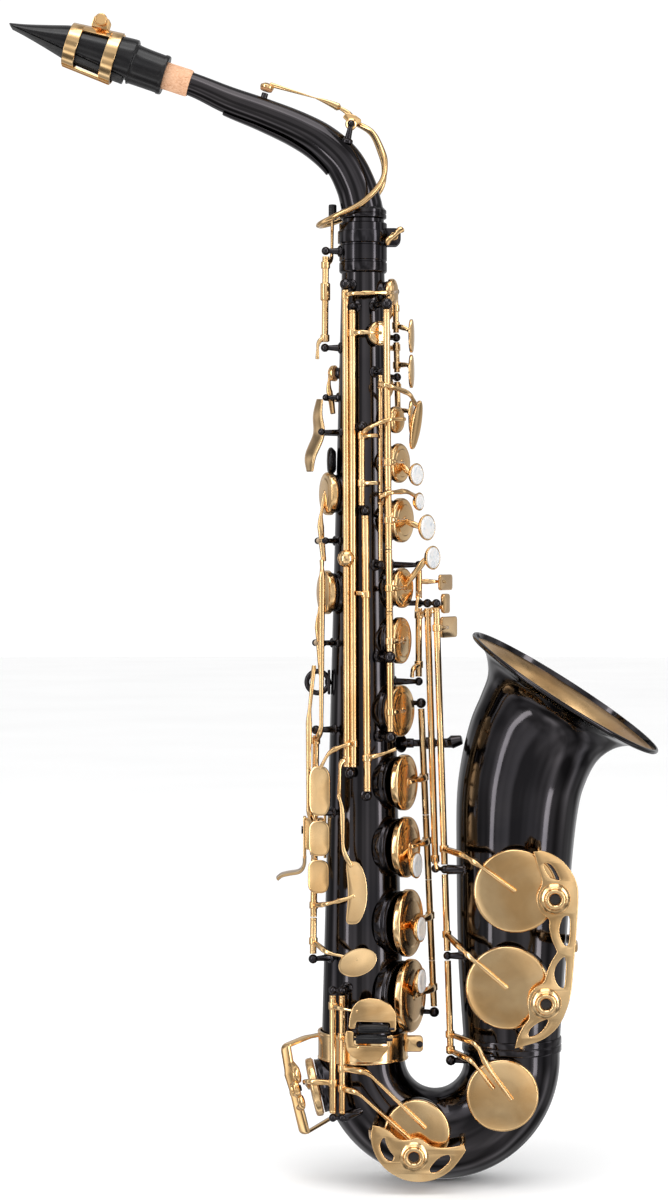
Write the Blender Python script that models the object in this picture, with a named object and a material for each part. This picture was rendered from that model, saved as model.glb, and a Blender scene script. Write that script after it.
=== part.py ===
"""Alto saxophone with separate keys, built in millimetres on a bench and written in metres.

Bench axes: X points from the body tube to the bell, Y points to the player's left,
Z points up the body tube.  The bench origin is on the body tube's axis, level with
the lowest point of the bow.  The finished part has its origin in the strap ring.
"""
import math

import bmesh
import bpy
from mathutils import Matrix, Quaternion, Vector

# ---- driving dimensions, millimetres and degrees -------------------------------------
MM = 0.001
GAP = 0.35                    # clearance between two pieces that meet
WALL = 0.9                    # sheet thickness of tube, bow, bell and neck
RING_X, RING_Z = -25.6, 280.2  # strap ring centre, which is the part's origin

BODY_FOOT_Z = 70.0            # where the body tube enters the bow clamp
BODY_TOP_Z = 512.0            # where the tube enters the receiver
BODY_FOOT_R = 23.5
BODY_TAPER = 0.02587          # radius lost for each millimetre of height
RECEIVER_R, RECEIVER_TOP_Z = 13.5, 539.0
NECK_SCREW = (17.4, 0, 531.0)  # middle of the screw that clamps the neck's tenon

BOW_R = 42.1                  # radius of the bow's centre line
BOW_Z = 66.7                  # height of the bow's centre of curvature
BOW_IN_R, BOW_OUT_R = 23.8, 27.2
BELL_X = 2 * BOW_R            # axis of the straight part of the bell
BELL_LEAN = 0.105             # how far the mouth of the bell turns to the player's right

CUP_LIFT = 2.4                # how far a tone hole's rim stands above the tube
PAD = 1.6                     # pad thickness shown under a cup
ROD_R = 1.9
ARM_R = 1.3
SIDES = 6                     # facets round rods and arms

BLACK = ("black_nickel", (0.035, 0.033, 0.036), 0.16, 1.0)
GOLD = ("gold_lacquer", (0.92, 0.62, 0.27), 0.2, 1.0)
EBONITE = ("ebonite", (0.012, 0.012, 0.012), 0.25, 0.0)
CORK = ("cork", (0.72, 0.46, 0.29), 0.9, 0.0)
REED = ("reed_resin", (0.02, 0.02, 0.02), 0.45, 0.0)

for old in list(bpy.data.objects):
    bpy.data.objects.remove(old, do_unlink=True)


# ---- the outline of the instrument ---------------------------------------------------
def body_radius(z):
    return BODY_FOOT_R - BODY_TAPER * (z - BODY_FOOT_Z)


def around(theta, radius, z):
    """A point at an angle round the body tube: 0 is the player's right, 90 the bell."""
    turn = math.radians(theta)
    return Vector((radius * math.sin(turn), -radius * math.cos(turn), z))


def outward(theta):
    return around(theta, 1.0, 0.0)


def bow_point(angle):
    """Centre of the bow after a turn of angle degrees from the body side."""
    turn = math.radians(angle)
    return Vector((BOW_R * (1 - math.cos(turn)), 0, BOW_Z - BOW_R * math.sin(turn)))


def bow_radius(angle):
    return BOW_IN_R + (BOW_OUT_R - BOW_IN_R) * angle / 180


# bell stations: centre X, centre Z, outside radius, forward tilt of the section
BELL = [
    (84.2, 78.0, 27.3, 0), (84.2, 125.0, 30.4, 1), (85.4, 177.0, 32.5, 2),
    (87.3, 211.0, 34.4, 4), (90.6, 230.0, 35.6, 11), (96.4, 247.0, 37.4, 18),
    (103.6, 257.5, 40.0, 22), (110.4, 264.5, 44.4, 26), (113.9, 269.0, 50.8, 30),
    (114.6, 271.4, 56.6, 32), (113.6, 273.2, 61.0, 32.2)]
# neck stations: centre X, centre Z, outside radius
NECK = [
    (-96.7, 617.3, 6.6), (-76.0, 608.4, 7.7), (-55.4, 600.9, 8.3), (-36.5, 592.9, 9.1),
    (-22.5, 584.6, 10.1), (-11.0, 573.5, 10.9), (-4.0, 560.0, 11.3), (-0.4, 547.0, 11.7)]
MOUTHPIECE_END = Vector((-111.4, 0, 622.1))
MOUTHPIECE_AXIS = Vector((-87.3, 0, 28.5)).normalized()


# ---- solids --------------------------------------------------------------------------
def frame_for(axis, hint=Vector((0, 0, 1))):
    """Two unit vectors square to an axis, the first as near to hint as it can be."""
    axis = axis.normalized()
    if abs(axis.dot(hint)) > 0.9:
        hint = Vector((0, 0, 1)) if abs(axis.z) < 0.7 else Vector((1, 0, 0))
    first = (hint - axis * axis.dot(hint)).normalized()
    return first, axis.cross(first)


def stack(rings, closed=False):
    """Skins a list of rings; one-point rings close it, or the last meets the first."""
    mesh = bmesh.new()
    rows = [[mesh.verts.new(point) for point in ring] for ring in rings]
    pairs = list(zip(rows, rows[1:]))
    if closed:
        pairs.append((rows[-1], rows[0]))
    for low, high in pairs:
        count = max(len(low), len(high))
        for i in range(count):
            j = (i + 1) % count
            corners = [low[i % len(low)], low[j % len(low)], high[j % len(high)], high[i % len(high)]]
            face = list(dict.fromkeys(corners))
            if len(face) > 2:
                mesh.faces.new(face)
    if not closed:
        for row in (rows[0], rows[-1]):
            if len(row) > 2:
                mesh.faces.new(row)
    bmesh.ops.recalc_face_normals(mesh, faces=mesh.faces)
    return mesh


def circle(centre, axis, radius, sides, hint=Vector((0, 1, 0)), squash=1.0):
    first, second = frame_for(axis, hint)
    ring = []
    for i in range(sides):
        turn = math.tau * (i + 0.5) / sides
        ring.append(centre + (first * math.cos(turn) + second * (math.sin(turn) * squash)) * radius)
    return ring


def sweep(points, radius, sides=SIDES, squash=1.0, hint=Vector((0, 1, 0))):
    """A round or oval bar along points, mitred at the bends, with flat ends."""
    points = [Vector(p) for p in points]
    radii = radius if isinstance(radius, (list, tuple)) else [radius] * len(points)
    rings = []
    for i, point in enumerate(points):
        before = points[max(i - 1, 0)]
        after = points[min(i + 1, len(points) - 1)]
        rings.append(circle(point, after - before, radii[i], sides, hint, squash))
    return stack(rings)


def turned(centre, axis, profile, sides):
    """A turned solid; profile lists (distance along axis, radius) from end to end."""
    axis = Vector(axis).normalized()
    rings = []
    for along, radius in profile:
        middle = Vector(centre) + axis * along
        rings.append([middle] if radius == 0 else circle(middle, axis, radius, sides))
    return stack(rings)


def plate(outline, centre, across, up, thickness):
    """A flat plate; outline points are measured along across and up from centre."""
    across = Vector(across).normalized()
    up = Vector(up).normalized()
    normal = across.cross(up).normalized()
    rings = []
    for side in (-0.5, 0.5):
        base = Vector(centre) + normal * (thickness * side)
        rings.append([base + across * u + up * v for u, v in outline])
    return stack(rings)


def oval(width, height, sides=12):
    return [(width / 2 * math.cos(math.tau * i / sides), height / 2 * math.sin(math.tau * i / sides))
            for i in range(sides)]


def hollow(stations, wall, sides):
    """An open tube; stations list (centre, axis, outside radius)."""
    outside = [circle(c, a, r, sides) for c, a, r in stations]
    inside = [circle(c, a, r - wall, sides) for c, a, r in reversed(stations)]
    return stack(outside + inside, closed=True)


def ball(centre, radius=2.9):
    return turned(centre, (0, 0, 1), [(-radius, 0), (-radius * 0.5, radius * 0.87),
                                      (radius * 0.5, radius * 0.87), (radius, 0)], 5)


def post(foot, head):
    """A post that stands on a tube and ends in a ball on a hinge's axis."""
    foot = Vector(foot)
    head = Vector(head)
    rise = head - foot
    return [sweep([foot, foot + rise * 0.3, head], [2.6, 1.6, 1.4], 6), ball(head)]


def cup(centre, facing, radius):
    """A domed key cup with its pad; centre is the middle of the pad's face."""
    rise = 2.4 if radius < 12 else 3.2
    profile = [(0, 0), (0, radius - 0.8), (PAD + rise * 0.6, radius), (PAD + rise, radius * 0.86),
               (PAD + rise + 0.5, 0)]
    return turned(centre, facing, profile, 14 if radius > 14 else 10)


def cup_top(radius):
    return PAD + (2.4 if radius < 12 else 3.2)


# ---- objects and materials -----------------------------------------------------------
def material(look):
    name, colour, roughness, metallic = look
    made = bpy.data.materials.get(name) or bpy.data.materials.new(name)
    made.use_nodes = True
    shader = made.node_tree.nodes["Principled BSDF"]
    shader.inputs["Base Color"].default_value = (*colour, 1)
    shader.inputs["Roughness"].default_value = roughness
    shader.inputs["Metallic"].default_value = metallic
    return made


def place(name, shapes, look, origin):
    """Joins loose shapes in one mesh object whose origin is a bench point."""
    together = bmesh.new()
    for shape in shapes:
        loose = bpy.data.meshes.new(name)
        shape.to_mesh(loose)
        shape.free()
        together.from_mesh(loose)
        bpy.data.meshes.remove(loose)
    origin = Vector(origin)
    move = Matrix.Scale(MM, 4) @ Matrix.Translation(-origin)
    bmesh.ops.transform(together, matrix=move, verts=together.verts)
    mesh = bpy.data.meshes.new(name)
    together.to_mesh(mesh)
    together.free()
    mesh.materials.append(material(look))
    mesh.shade_smooth()
    mesh.set_sharp_from_angle(angle=math.radians(40))
    made = bpy.data.objects.new(name, mesh)
    made.location = (origin - Vector((RING_X, 0, RING_Z))) * MM
    bpy.context.collection.objects.link(made)
    return made


def guide(name, shapes, origin):
    """A hidden operand of a Boolean."""
    made = place(name, shapes, BLACK, origin)
    made.hide_render = True
    made.display_type = "WIRE"
    return made


CROWDED = ("body_tube", "bow", "bell", "g_sharp_lever", "neck_octave_key", "side_bb_lever", "low_b_lever")


def combine(made, operation, shapes, origin):
    """Adds one Boolean for each shape; the crowded pieces need the MANIFOLD solver."""
    for number, shape in enumerate(shapes, start=1):
        step = made.modifiers.new(f"{operation.lower()} {number}", "BOOLEAN")
        step.operation = operation
        step.solver = "MANIFOLD" if made.name in CROWDED else "EXACT"
        step.object = guide(f"{made.name}.{operation.lower()}.{number}", [shape], origin)


def piece(name, shapes, look=GOLD, origin=(0, 0, 0), cuts=()):
    """One solid: the first shape, with the others welded on and the cuts taken out."""
    made = place(name, shapes[:1], look, origin)
    combine(made, "UNION", shapes[1:], origin)
    combine(made, "DIFFERENCE", cuts, origin)
    return made


def key(name, hinge, shapes, opened=0.0, look=GOLD):
    """A key drawn closed on its hinge, then turned by its rest opening in degrees."""
    start, end = Vector(hinge[0]), Vector(hinge[1])
    swing = Quaternion((end - start).normalized(), math.radians(opened)).to_matrix().to_4x4()
    turn = Matrix.Translation(start) @ swing @ Matrix.Translation(-start)
    for shape in shapes:
        bmesh.ops.transform(shape, matrix=turn, verts=shape.verts)
    HINGES[name] = (start, (end - start).normalized())
    return piece(name, shapes, look, start)


HINGES = {}


# ---- tone holes ----------------------------------------------------------------------
# name: angle round the tube, height, cup radius
BODY_HOLES = {
    "c_vent": (64, 427.7, 7.6), "b": (68, 403.6, 11.2), "a": (68, 371.5, 12.6),
    "g": (68, 333.5, 11.4), "g_sharp": (66, 304.0, 13.2), "alt_fs": (60, 264.6, 14.6),
    "fs": (60, 224.4, 15.8), "f": (60, 188.2, 17.2), "e": (61, 145.6, 19.0), "d": (62, 104.8, 20.6),
    "side_e": (30, 475.9, 7.0), "high_fs": (72, 500.0, 7.4),
    "side_c": (-72, 386.5, 12.2), "side_bb": (-72, 331.0, 12.4),
    "palm_d": (150, 448.0, 9.4), "palm_eb": (172, 470.0, 8.8), "palm_f": (140, 492.0, 8.2),
    "body_octave": (-115, 455.0, 4.6)}


def hole_face(name, lift=CUP_LIFT):
    theta, z, _ = BODY_HOLES[name]
    return around(theta, body_radius(z) + lift, z)


def pad_seat(name):
    return hole_face(name, CUP_LIFT + GAP)


# bow and bell tone holes: centre on the tube's middle line, direction, cup radius, rim distance
SIDE_HOLES = {
    "low_eb": (bow_point(13), Vector((-0.975, -0.05, -0.21)), 16.6, 26.4),
    "low_c": (Vector((30.0, 0, 31.5)), Vector((0, -1, 0)), 18.4, 27.2),
    "low_cs": (Vector((77.1, 0, 52.0)), Vector((0, -1, 0)), 20.2, 29.2),
    "low_b": (Vector((81.6, 0, 112.8)), Vector((0, -1, 0)), 23.2, 32.4),
    "low_bb": (Vector((86.2, 0, 166.7)), Vector((0, -1, 0)), 23.2, 34.8)}


def side_seat(name):
    centre, facing, _, reach = SIDE_HOLES[name]
    return centre + facing.normalized() * (reach + GAP)


def chimney(base, facing, radius, reach, depth):
    facing = Vector(facing).normalized()
    return turned(base, facing, [(reach - depth, 0), (reach - depth, radius), (reach, radius), (reach, 0)],
                  10 if radius > 10 else 8)


def body_chimneys(inset, over, depth):
    made = []
    for theta, z, radius in BODY_HOLES.values():
        reach = body_radius(z) + CUP_LIFT + over
        made.append(chimney((0, 0, z), outward(theta), radius - inset, reach, depth))
    return made


def side_chimneys(names, inset, over, depth):
    made = []
    for name in names:
        centre, facing, radius, reach = SIDE_HOLES[name]
        made.append(chimney(centre, facing, radius - inset, reach + over, depth))
    return made


# ---- hinge lines ---------------------------------------------------------------------
def line(low, high):
    """A straight hinge line, read by height."""
    low, high = Vector(low), Vector(high)

    def at(z):
        return low + (high - low) * ((z - low.z) / (high.z - low.z))
    return at


UPPER_ROD = line((15.0, -26.5, 254), (12.7, -22.5, 499))
LOWER_ROD = line((40.5, 6.0, 93), (33.0, 3.0, 265))
HIGH_FS_ROD = line((-9.2, -24.5, 234), (-10.0, -15.5, 499))
SIDE_E_ROD = line((-5.5, -25.4, 234), (-6.2, -17.0, 499))
THIN_ROD = line((9.5, -21.0, 350), (9.5, -17.5, 450))
VENT_ROD = line((-1.0, -21.5, 380), (-1.0, -20.0, 420))
TRILL_ROD = line((2.2, -27.0, 222), (1.0, -22.0, 375))
BELL_ROD = line((49.2, -14.0, 69), (41.0, -8.0, 326.7))
BELL_ROD_2 = line((44.0, -9.2, 69), (36.2, -3.2, 326.7))
TABLE_ROD = line((31.6, 4.0, 280), (31.6, 4.0, 345))
TOUCH_ROD = line((-28.1, -18.5, 127), (-26.5, -14.5, 251))
PALM_ROD = line((20.0, 11.0, 428), (18.4, 9.8, 498))
OCTAVE_ROD = line((-21.5, -5.0, 470), (-21.0, -5.0, 530))
EB_ROD = line((-17.0, -26.5, 41), (-17.0, -26.5, 106))
C_ROD = line((-11.8, -27.2, 41), (-11.8, -27.2, 106))


def tube(rod, low, high, radius=ROD_R):
    return sweep([rod(low), rod(high)], radius)


def body_foot(head):
    reach = body_radius(head.z) - WALL * 0.6
    if head.z > BODY_TOP_Z:
        reach = RECEIVER_R - WALL * 0.6
    flat = Vector((head.x, head.y, 0)).normalized()
    return flat * reach + Vector((0, 0, head.z))


def stand(rod, z, radius=2.9, foot=None):
    """A post on the body tube for a hinge line; foot moves its root round the tube."""
    head = rod(z)
    foot = body_foot(head) if foot is None else body_foot(around(foot, 1, z))
    return [sweep([foot, head], [2.4, 1.3], 5), ball(head, radius)]


def arm(*points, radius=ARM_R):
    return sweep(points, radius, 6)


def over_cup(name, extra=0.2):
    """The middle of the top of a closed cup on the body tube."""
    theta, _, radius = BODY_HOLES[name]
    return pad_seat(name) + outward(theta) * (cup_top(radius) + extra)


def body_cup(name):
    theta, _, radius = BODY_HOLES[name]
    return cup(pad_seat(name), outward(theta), radius)


def side_cup(name):
    _, facing, radius, _ = SIDE_HOLES[name]
    return cup(side_seat(name), facing, radius)


def over_side_cup(name, extra=0.2):
    _, facing, radius, _ = SIDE_HOLES[name]
    return side_seat(name) + facing.normalized() * (cup_top(radius) + extra)


def pearl_seat(centre, facing, radius=6.8):
    """The metal dish that holds a pearl."""
    profile = [(-1.6, 0), (-1.6, radius - 1.4), (0.2, radius), (1.4, radius - 0.3), (1.4, 0)]
    return turned(centre, facing, profile, 12)


# ---- body, bow and bell --------------------------------------------------------------
def rocker_frame(theta, z, reach):
    """Hinge centre and hinge direction of a side key that rocks on the tube."""
    centre = around(theta, body_radius(z) + reach, z)
    return centre, outward(theta + 90)


ROCKERS = {"side_c": (-72, 360.0, 8.5), "side_bb": (-72, 302.5, 8.5), "body_octave": (-115, 441.0, 6.0)}
ROCKER_HALF = 4.6


def body_tube():
    up = Vector((0, 0, 1))
    heights = [BODY_FOOT_Z, BODY_TOP_Z - 1.5]
    outside = [circle(Vector((0, 0, z)), up, body_radius(z), 20) for z in heights]
    for z, radius in ((BODY_TOP_Z - 1, RECEIVER_R), (RECEIVER_TOP_Z, RECEIVER_R)):
        outside.append(circle(Vector((0, 0, z)), up, radius, 20))
    inside = [circle(Vector((0, 0, z)), up, 12.3, 20) for z in (RECEIVER_TOP_Z, BODY_TOP_Z + 1.5)]
    inside += [circle(Vector((0, 0, z)), up, body_radius(z) - WALL, 20) for z in reversed(heights)]
    shapes = [stack(outside + inside, closed=True)]
    shapes += body_chimneys(inset=1.6, over=0, depth=7.5)
    for rod, heights, radius in (
            (UPPER_ROD, (491.8, 295.2, 250.6), 2.8),
            (HIGH_FS_ROD, (502.3,), 1.9), (SIDE_E_ROD, (491.2,), 1.9), (THIN_ROD, (454.6, 346.4), 1.9),
            (VENT_ROD, (423.6,), 2.3), (TRILL_ROD, (376.6, 217.8), 2.5), (TABLE_ROD, (346.4, 280.4), 2.4),
            (TOUCH_ROD, (254.0, 207.4, 126.0), 2.6), (PALM_ROD, (501.4, 475.4, 453.0, 427.0), 2.4),
            (OCTAVE_ROD, (468.6, 523.0), 2.4)):
        for z in heights:
            shapes += stand(rod, z, radius)
    shapes += stand(LOWER_ROD, 268.2, foot=140) + stand(LOWER_ROD, 92.4, foot=130)
    shapes += post(around(-22, 18.6, 230.4), (-7.4, -24.9, 230.4))
    # the bridge that carries the tops of the three bell-key rods
    knots = [TABLE_ROD(324.8), BELL_ROD_2(324.8), BELL_ROD(324.8)]
    shapes.append(sweep([around(95, 15.8, 324.8), *knots], [2.6, 1.6, 1.4, 1.2], 6))
    shapes += [ball(knot, 2.5) for knot in knots]
    shapes.append(sweep([around(-25, 21.8, 109.6), C_ROD(109.6), EB_ROD(109.6)], [2.4, 1.5, 1.3], 6))
    shapes += [ball(C_ROD(109.6), 2.3), ball(EB_ROD(109.6), 2.3)]
    for theta, z, reach in ROCKERS.values():
        centre, along = rocker_frame(theta, z, reach)
        for side in (-1, 1):
            head = centre + along * (side * (ROCKER_HALF + 2.4))
            shapes.append(sweep([body_foot(head), head], [2.0, 1.2], 6))
            shapes.append(ball(head, 2.0))
    lever_head = Vector((-23.4, 0, 421.0))
    for side in (-1, 1):
        head = lever_head + Vector((0, side * 12.6, 0))
        shapes.append(sweep([body_foot(head), head], [2.0, 1.2], 6))
        shapes.append(ball(head, 2.0))
    for side in (-1, 1):
        middle = Vector(NECK_SCREW) + Vector((-0.4, side * 3.4, 0))
        shapes.append(plate([(-4.6, -5), (4.2, -5), (4.2, 5), (-4.6, 5)], middle, (1, 0, 0), (0, 0, 1), 2.2))
    drills = body_chimneys(inset=2.6, over=1.0, depth=9.4)
    drills.append(turned(NECK_SCREW, (0, 1, 0), [(-6, 0), (-6, 2.2), (6, 2.2), (6, 0)], 10))
    return piece("body_tube", shapes, BLACK, cuts=drills)


def bow():
    stations = [(Vector((0, 0, 69.5)), Vector((0, 0, -1)), BOW_IN_R)]
    for i in range(11):
        angle = i * 18
        axis = Vector((math.sin(math.radians(angle)), 0, -math.cos(math.radians(angle))))
        stations.append((bow_point(angle), axis, bow_radius(angle)))
    stations.append((Vector((BELL_X, 0, 77.5)), Vector((0, 0, 1)), BOW_OUT_R))
    shapes = [hollow(stations, WALL, 20)]
    names = ("low_eb", "low_c", "low_cs")
    shapes += side_chimneys(names, inset=1.6, over=0, depth=7.5)
    shapes.append(sweep([(0.5, -20.0, 42.0), C_ROD(38.4), EB_ROD(38.4)], [2.4, 1.5, 1.3], 6))
    shapes += [ball(C_ROD(38.4), 2.3), ball(EB_ROD(38.4), 2.3)]
    shapes += post((60.5, -11.5, 68.2), BELL_ROD(68.4))
    return piece("bow", shapes, BLACK, cuts=side_chimneys(names, inset=2.6, over=1.0, depth=9.6))


def bell():
    stations = []
    for x, z, radius, tilt in BELL:
        turn = math.radians(tilt)
        lean = -BELL_LEAN * tilt / BELL[-1][3]
        axis = Vector((math.sin(turn), lean, math.cos(turn)))
        stations.append((Vector((x, 0, z)), axis.normalized(), radius))
    outside = [circle(c, a, r, 24) for c, a, r in stations]
    rim, facing, reach = stations[-1]
    # the rolled rim: over the edge and back inside
    for along, grow in ((0.6, 0.9), (2.0, 0.9), (2.4, -0.4), (1.2, -1.4)):
        outside.append(circle(rim + facing * along, facing, reach + grow, 24))
    inside = [circle(c, a, r - WALL, 24) for c, a, r in reversed(stations[:-1])]
    shapes = [stack(outside + inside, closed=True)]
    shapes += side_chimneys(("low_b", "low_bb"), inset=1.6, over=0, depth=8.0)
    for z in (175.4, 127.0):
        heads = [BELL_ROD(z)] + ([BELL_ROD_2(z)] if z > 150 else [])
        foot = Vector((BELL_X - 26.5, -13.0, z))
        shapes.append(sweep([foot, *heads], [2.6, 1.6, 1.3][:1 + len(heads)], 6))
        shapes += [ball(head, 2.4) for head in heads]
    drills = side_chimneys(("low_b", "low_bb"), inset=2.6, over=1.0, depth=10.0)
    return piece("bell", shapes, BLACK, cuts=drills)


def ring_band(name, centre, inner, outer, low, high, look, extras=()):
    up = Vector((0, 0, 1))
    rings = [circle(Vector(centre) + up * z, up, r, 28)
             for z, r in ((low, outer), (high, outer), (high, inner), (low, inner))]
    return piece(name, [stack(rings, closed=True), *extras], look)


def joints_of_the_tubes():
    square = [(-4.5, -4.5), (4.5, -4.5), (4.5, 4.5), (-4.5, 4.5)]
    ear = [plate(square, (29.5, 0, 75.5), (1, 0, 0), (0, 0, 1), 3.2),
           turned((32.0, -3.6, 75.5), (0, 1, 0), [(0, 0), (0, 2.6), (7.2, 2.6), (7.2, 0)], 8)]
    ring_band("bow_clamp_band", (0, 0, 0), BOW_IN_R + 0.4, BOW_IN_R + 2.0, 67.4, 83.4, GOLD, ear)
    ring_band("bell_bow_ring", (BELL_X, 0, 0), BOW_OUT_R + 0.6, BOW_OUT_R + 2.2, 71.8, 80.0, BLACK)


def bell_brace():
    path = [(19.2, 7.6, 245.0), (24.0, 11.5, 245.0), (48.0, 11.5, 245.0), (56.4, 10.0, 247.0)]
    shapes = [sweep(path, [3.4, 2.2, 2.2, 2.8], 8)]
    shapes.append(turned((37.5, 11.5, 245.0), (1, 0, 0), [(-4, 0), (-4, 3.4), (4, 3.4), (4, 0)], 10))
    piece("bell_brace", shapes, BLACK)


def strap_ring():
    major, minor = 6.1, 1.5
    rings = []
    for i in range(16):
        turn = math.tau * i / 16
        middle = Vector((RING_X + major * math.cos(turn), 0, RING_Z + major * math.sin(turn)))
        axis = Vector((-math.sin(turn), 0, math.cos(turn)))
        rings.append(circle(middle, axis, minor, 8))
    shoe = body_radius(RING_Z) + GAP
    base = plate([(-4, -7), (4, -7), (4, 7), (-4, 7)], (-shoe - 0.8, 0, RING_Z), (0, 1, 0), (0, 0, 1), 1.6)
    piece("strap_ring", [stack(rings, closed=True), base], BLACK)


def thumb_hook():
    shoe = body_radius(196) + GAP
    base = plate([(-5, -16), (5, -16), (5, 16), (-5, 16)], (-shoe - 0.9, 6, 196), (0, 1, 0), (0, 0, 1), 1.6)
    block = plate([(-5.2, -9), (5.2, -9), (5.2, 9), (-5.2, 9)],
                  (-shoe - 6.8, 6, 194), (1, 0, 0), (0, 0, 1), 7)
    slide = plate([(-3, -15), (3, -15), (3, 12), (-3, 12)], (-33.0, 6, 192), (0, 1, 0), (0, 0, 1), 1.8)
    curl = [(-33.0, 6, 181), (-33.4, 6, 176), (-36, 6, 172.6), (-43, 6, 171.2), (-47.6, 6, 166.5),
            (-48.4, 6, 159)]
    hook = sweep(curl, 1.1, 8, squash=8.0, hint=Vector((0, 0, 1)))
    piece("thumb_hook", [base, block, slide, hook], GOLD)


def thumb_rest():
    shoe = body_radius(407) + GAP
    profile = [(shoe, 0), (shoe, 5.4), (shoe + 2.4, 8.0), (shoe + 4.6, 7.4), (shoe + 5.4, 0)]
    piece("thumb_rest", [turned((0, 0, 405), (-1, 0, 0), profile, 14)], EBONITE)


def guards():
    boss = [(0, 0), (0, 8.2), (3.4, 8.8), (8.0, 7.4), (8.0, 0)]
    near = Vector((0, -1, 0))
    rail = [(97.5, -33.4, 190), (104, -43, 188), (113.5, -47.5, 176), (116.5, -48.5, 160),
            (116.5, -48.5, 138), (113.0, -48.5, 112), (108.5, -48.0, 94), (100, -44, 84), (93, -29.8, 82)]
    inner = [(104.8, -48.5, 163.7), (96.5, -48.8, 148), (93.5, -48.8, 134), (96.0, -48.8, 119),
             (99.8, -48.5, 105.8)]
    shapes = [sweep(rail, 2.6, 6, squash=0.5), sweep(inner, 2.4, 6, squash=0.5)]
    shapes.append(sweep([(116.8, -48.5, 136), (116.0, -30, 136), (115.2, -8.6, 136)], 2.2, 6, squash=0.5))
    shapes += [arm((104.8, -48.5, z), (116.5, -48.5, z + 2), radius=2.0) for z in (164,)]
    shapes.append(arm((99.8, -48.5, 105.8), (112.5, -48.5, 110), radius=2.0))
    shapes += [turned((x, -45.6, z), near, boss, 14) for x, z in ((104.8, 163.7), (99.8, 105.8))]
    piece("bell_key_guard", shapes, GOLD)
    c_rail = [(5.0, -26.0, 29), (8, -38, 22), (16, -42, 12), (27.5, -43.5, 8.6), (40, -42, 10),
              (50, -38, 18), (54.5, -28.0, 27)]
    shapes = [sweep(c_rail, 2.6, 6, squash=0.5), arm((27.5, -43.0, 20.6), (27.5, -43.5, 8.6), radius=2.2)]
    shapes.append(turned((27.5, -39.4, 20.6), near, boss, 14))
    piece("low_c_guard", shapes, GOLD)
    e_rail = [(-22.0, 18.0, 82), (-33, 15, 79), (-43.4, 10, 72), (-42.0, 3, 60), (-38.5, 0, 47),
              (-34.0, 4, 32), (-28.5, 10, 23), (-18.5, 15.5, 30)]
    shapes = [sweep(e_rail, 2.6, 6, squash=0.5)]
    shapes.append(turned((-35.6, 0, 50.3), (-1, 0, -0.25), [(0, 0), (0, 6.4), (5, 6.0), (5, 0)], 12))
    piece("low_eb_guard", shapes, GOLD)


# ---- neck and mouthpiece -------------------------------------------------------------
def neck():
    up = Vector((0, 0, 1))
    plain = [(Vector((0, 0, 516)), up, 11.8), (Vector((0, 0, 541)), up, 11.8)]
    collar = [(Vector((0, 0, 541.6)), up, 13.2), (Vector((0, 0, 546.4)), up, 13.2)]
    centres = [Vector((x, 0, z)) for x, z, _ in reversed(NECK)]
    centres.append(centres[-1] + MOUTHPIECE_AXIS * 30)
    radii = [r for _, _, r in reversed(NECK)] + [NECK[0][2]]
    curve = []
    for i, centre in enumerate(centres):
        before = centres[i - 1] if i else Vector((0, 0, 540))
        after = centres[min(i + 1, len(centres) - 1)]
        curve.append((centre, (after - before).normalized(), radii[i]))
    outside = [circle(c, a, r, 16) for c, a, r in plain + collar + curve]
    inside = [circle(c, a, r - WALL, 16) for c, a, r in reversed(plain + curve)]
    shapes = [stack(outside + inside, closed=True)]
    for side in (-1, 1):
        shapes.append(sweep([(-9.0, side * 5.0, 584.5), (-6.8, side * 7.0, 594.0)], [2.4, 1.4], 6))
        shapes.append(ball((-6.8, side * 7.0, 594.2), 2.1))
    shapes.append(turned((-57.0, 0, 606.4), (0.3, 0, 0.95), [(0, 0), (0, 2.4), (6.2, 2.0), (6.2, 0)], 8))
    # the strip that stiffens the underside of the bend
    brace = []
    for i, reach in ((2, 0.4), (3, 0.8), (4, 0.8), (5, 0.8), (6, 0.4)):
        centre, axis, radius = curve[i]
        brace.append(centre + Vector((axis.z, 0, -axis.x)) * -(radius + reach))
    shapes.append(sweep(brace, [3.0, 4.2, 4.6, 4.2, 3.0], 6, squash=0.3))
    piece("neck_tube", shapes, BLACK)
    start = centres[-2] + MOUTHPIECE_AXIS * 0.8
    rings = [circle(start + MOUTHPIECE_AXIS * s, MOUTHPIECE_AXIS, r, 20)
             for s, r in ((0, 7.2), (1.2, 7.7), (27.5, 7.5), (28.4, 7.2), (28.4, 6.95), (0, 6.95))]
    piece("neck_cork", [stack(rings, closed=True)], CORK)


def mouthpiece_point(s, t, side=0.0):
    """s runs from the shank's end to the tip, t upwards from the bore's axis."""
    upward = Vector((0.310, 0, 0.951))
    return MOUTHPIECE_END + MOUTHPIECE_AXIS * s + upward * t + Vector((0, side, 0))


TIP = 91.6
TABLE_START = 21.0


def table_height(s):
    return -8.6 + (s - TABLE_START) * 8.0 / (TIP - TABLE_START)


def mouthpiece_ring(s, top, bottom, half_width, sides=20):
    middle, half = (top + bottom) / 2, (top - bottom) / 2
    ring = []
    for i in range(sides):
        turn = math.tau * (i + 0.5) / sides
        t = middle + half * math.sin(turn)
        if s >= TABLE_START:
            t = max(t, table_height(s))
        ring.append(mouthpiece_point(s, t, half_width * math.cos(turn)))
    return ring


# station, top, bottom, half width
MOUTHPIECE = [
    (0, 10.9, -10.9, 10.9), (17.5, 11.8, -10.6, 11.3), (19.2, 13.6, -10.8, 12.4), (21.0, 14.3, -11.2, 12.9),
    (32.0, 13.4, -11.0, 12.6), (46.0, 12.0, -10.2, 11.9), (58.0, 10.5, -9.6, 11.0), (70.0, 7.0, -8.4, 10.0),
    (82.0, 3.4, -6.0, 8.8), (TIP, 0.9, -3.0, 7.6)]


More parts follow.
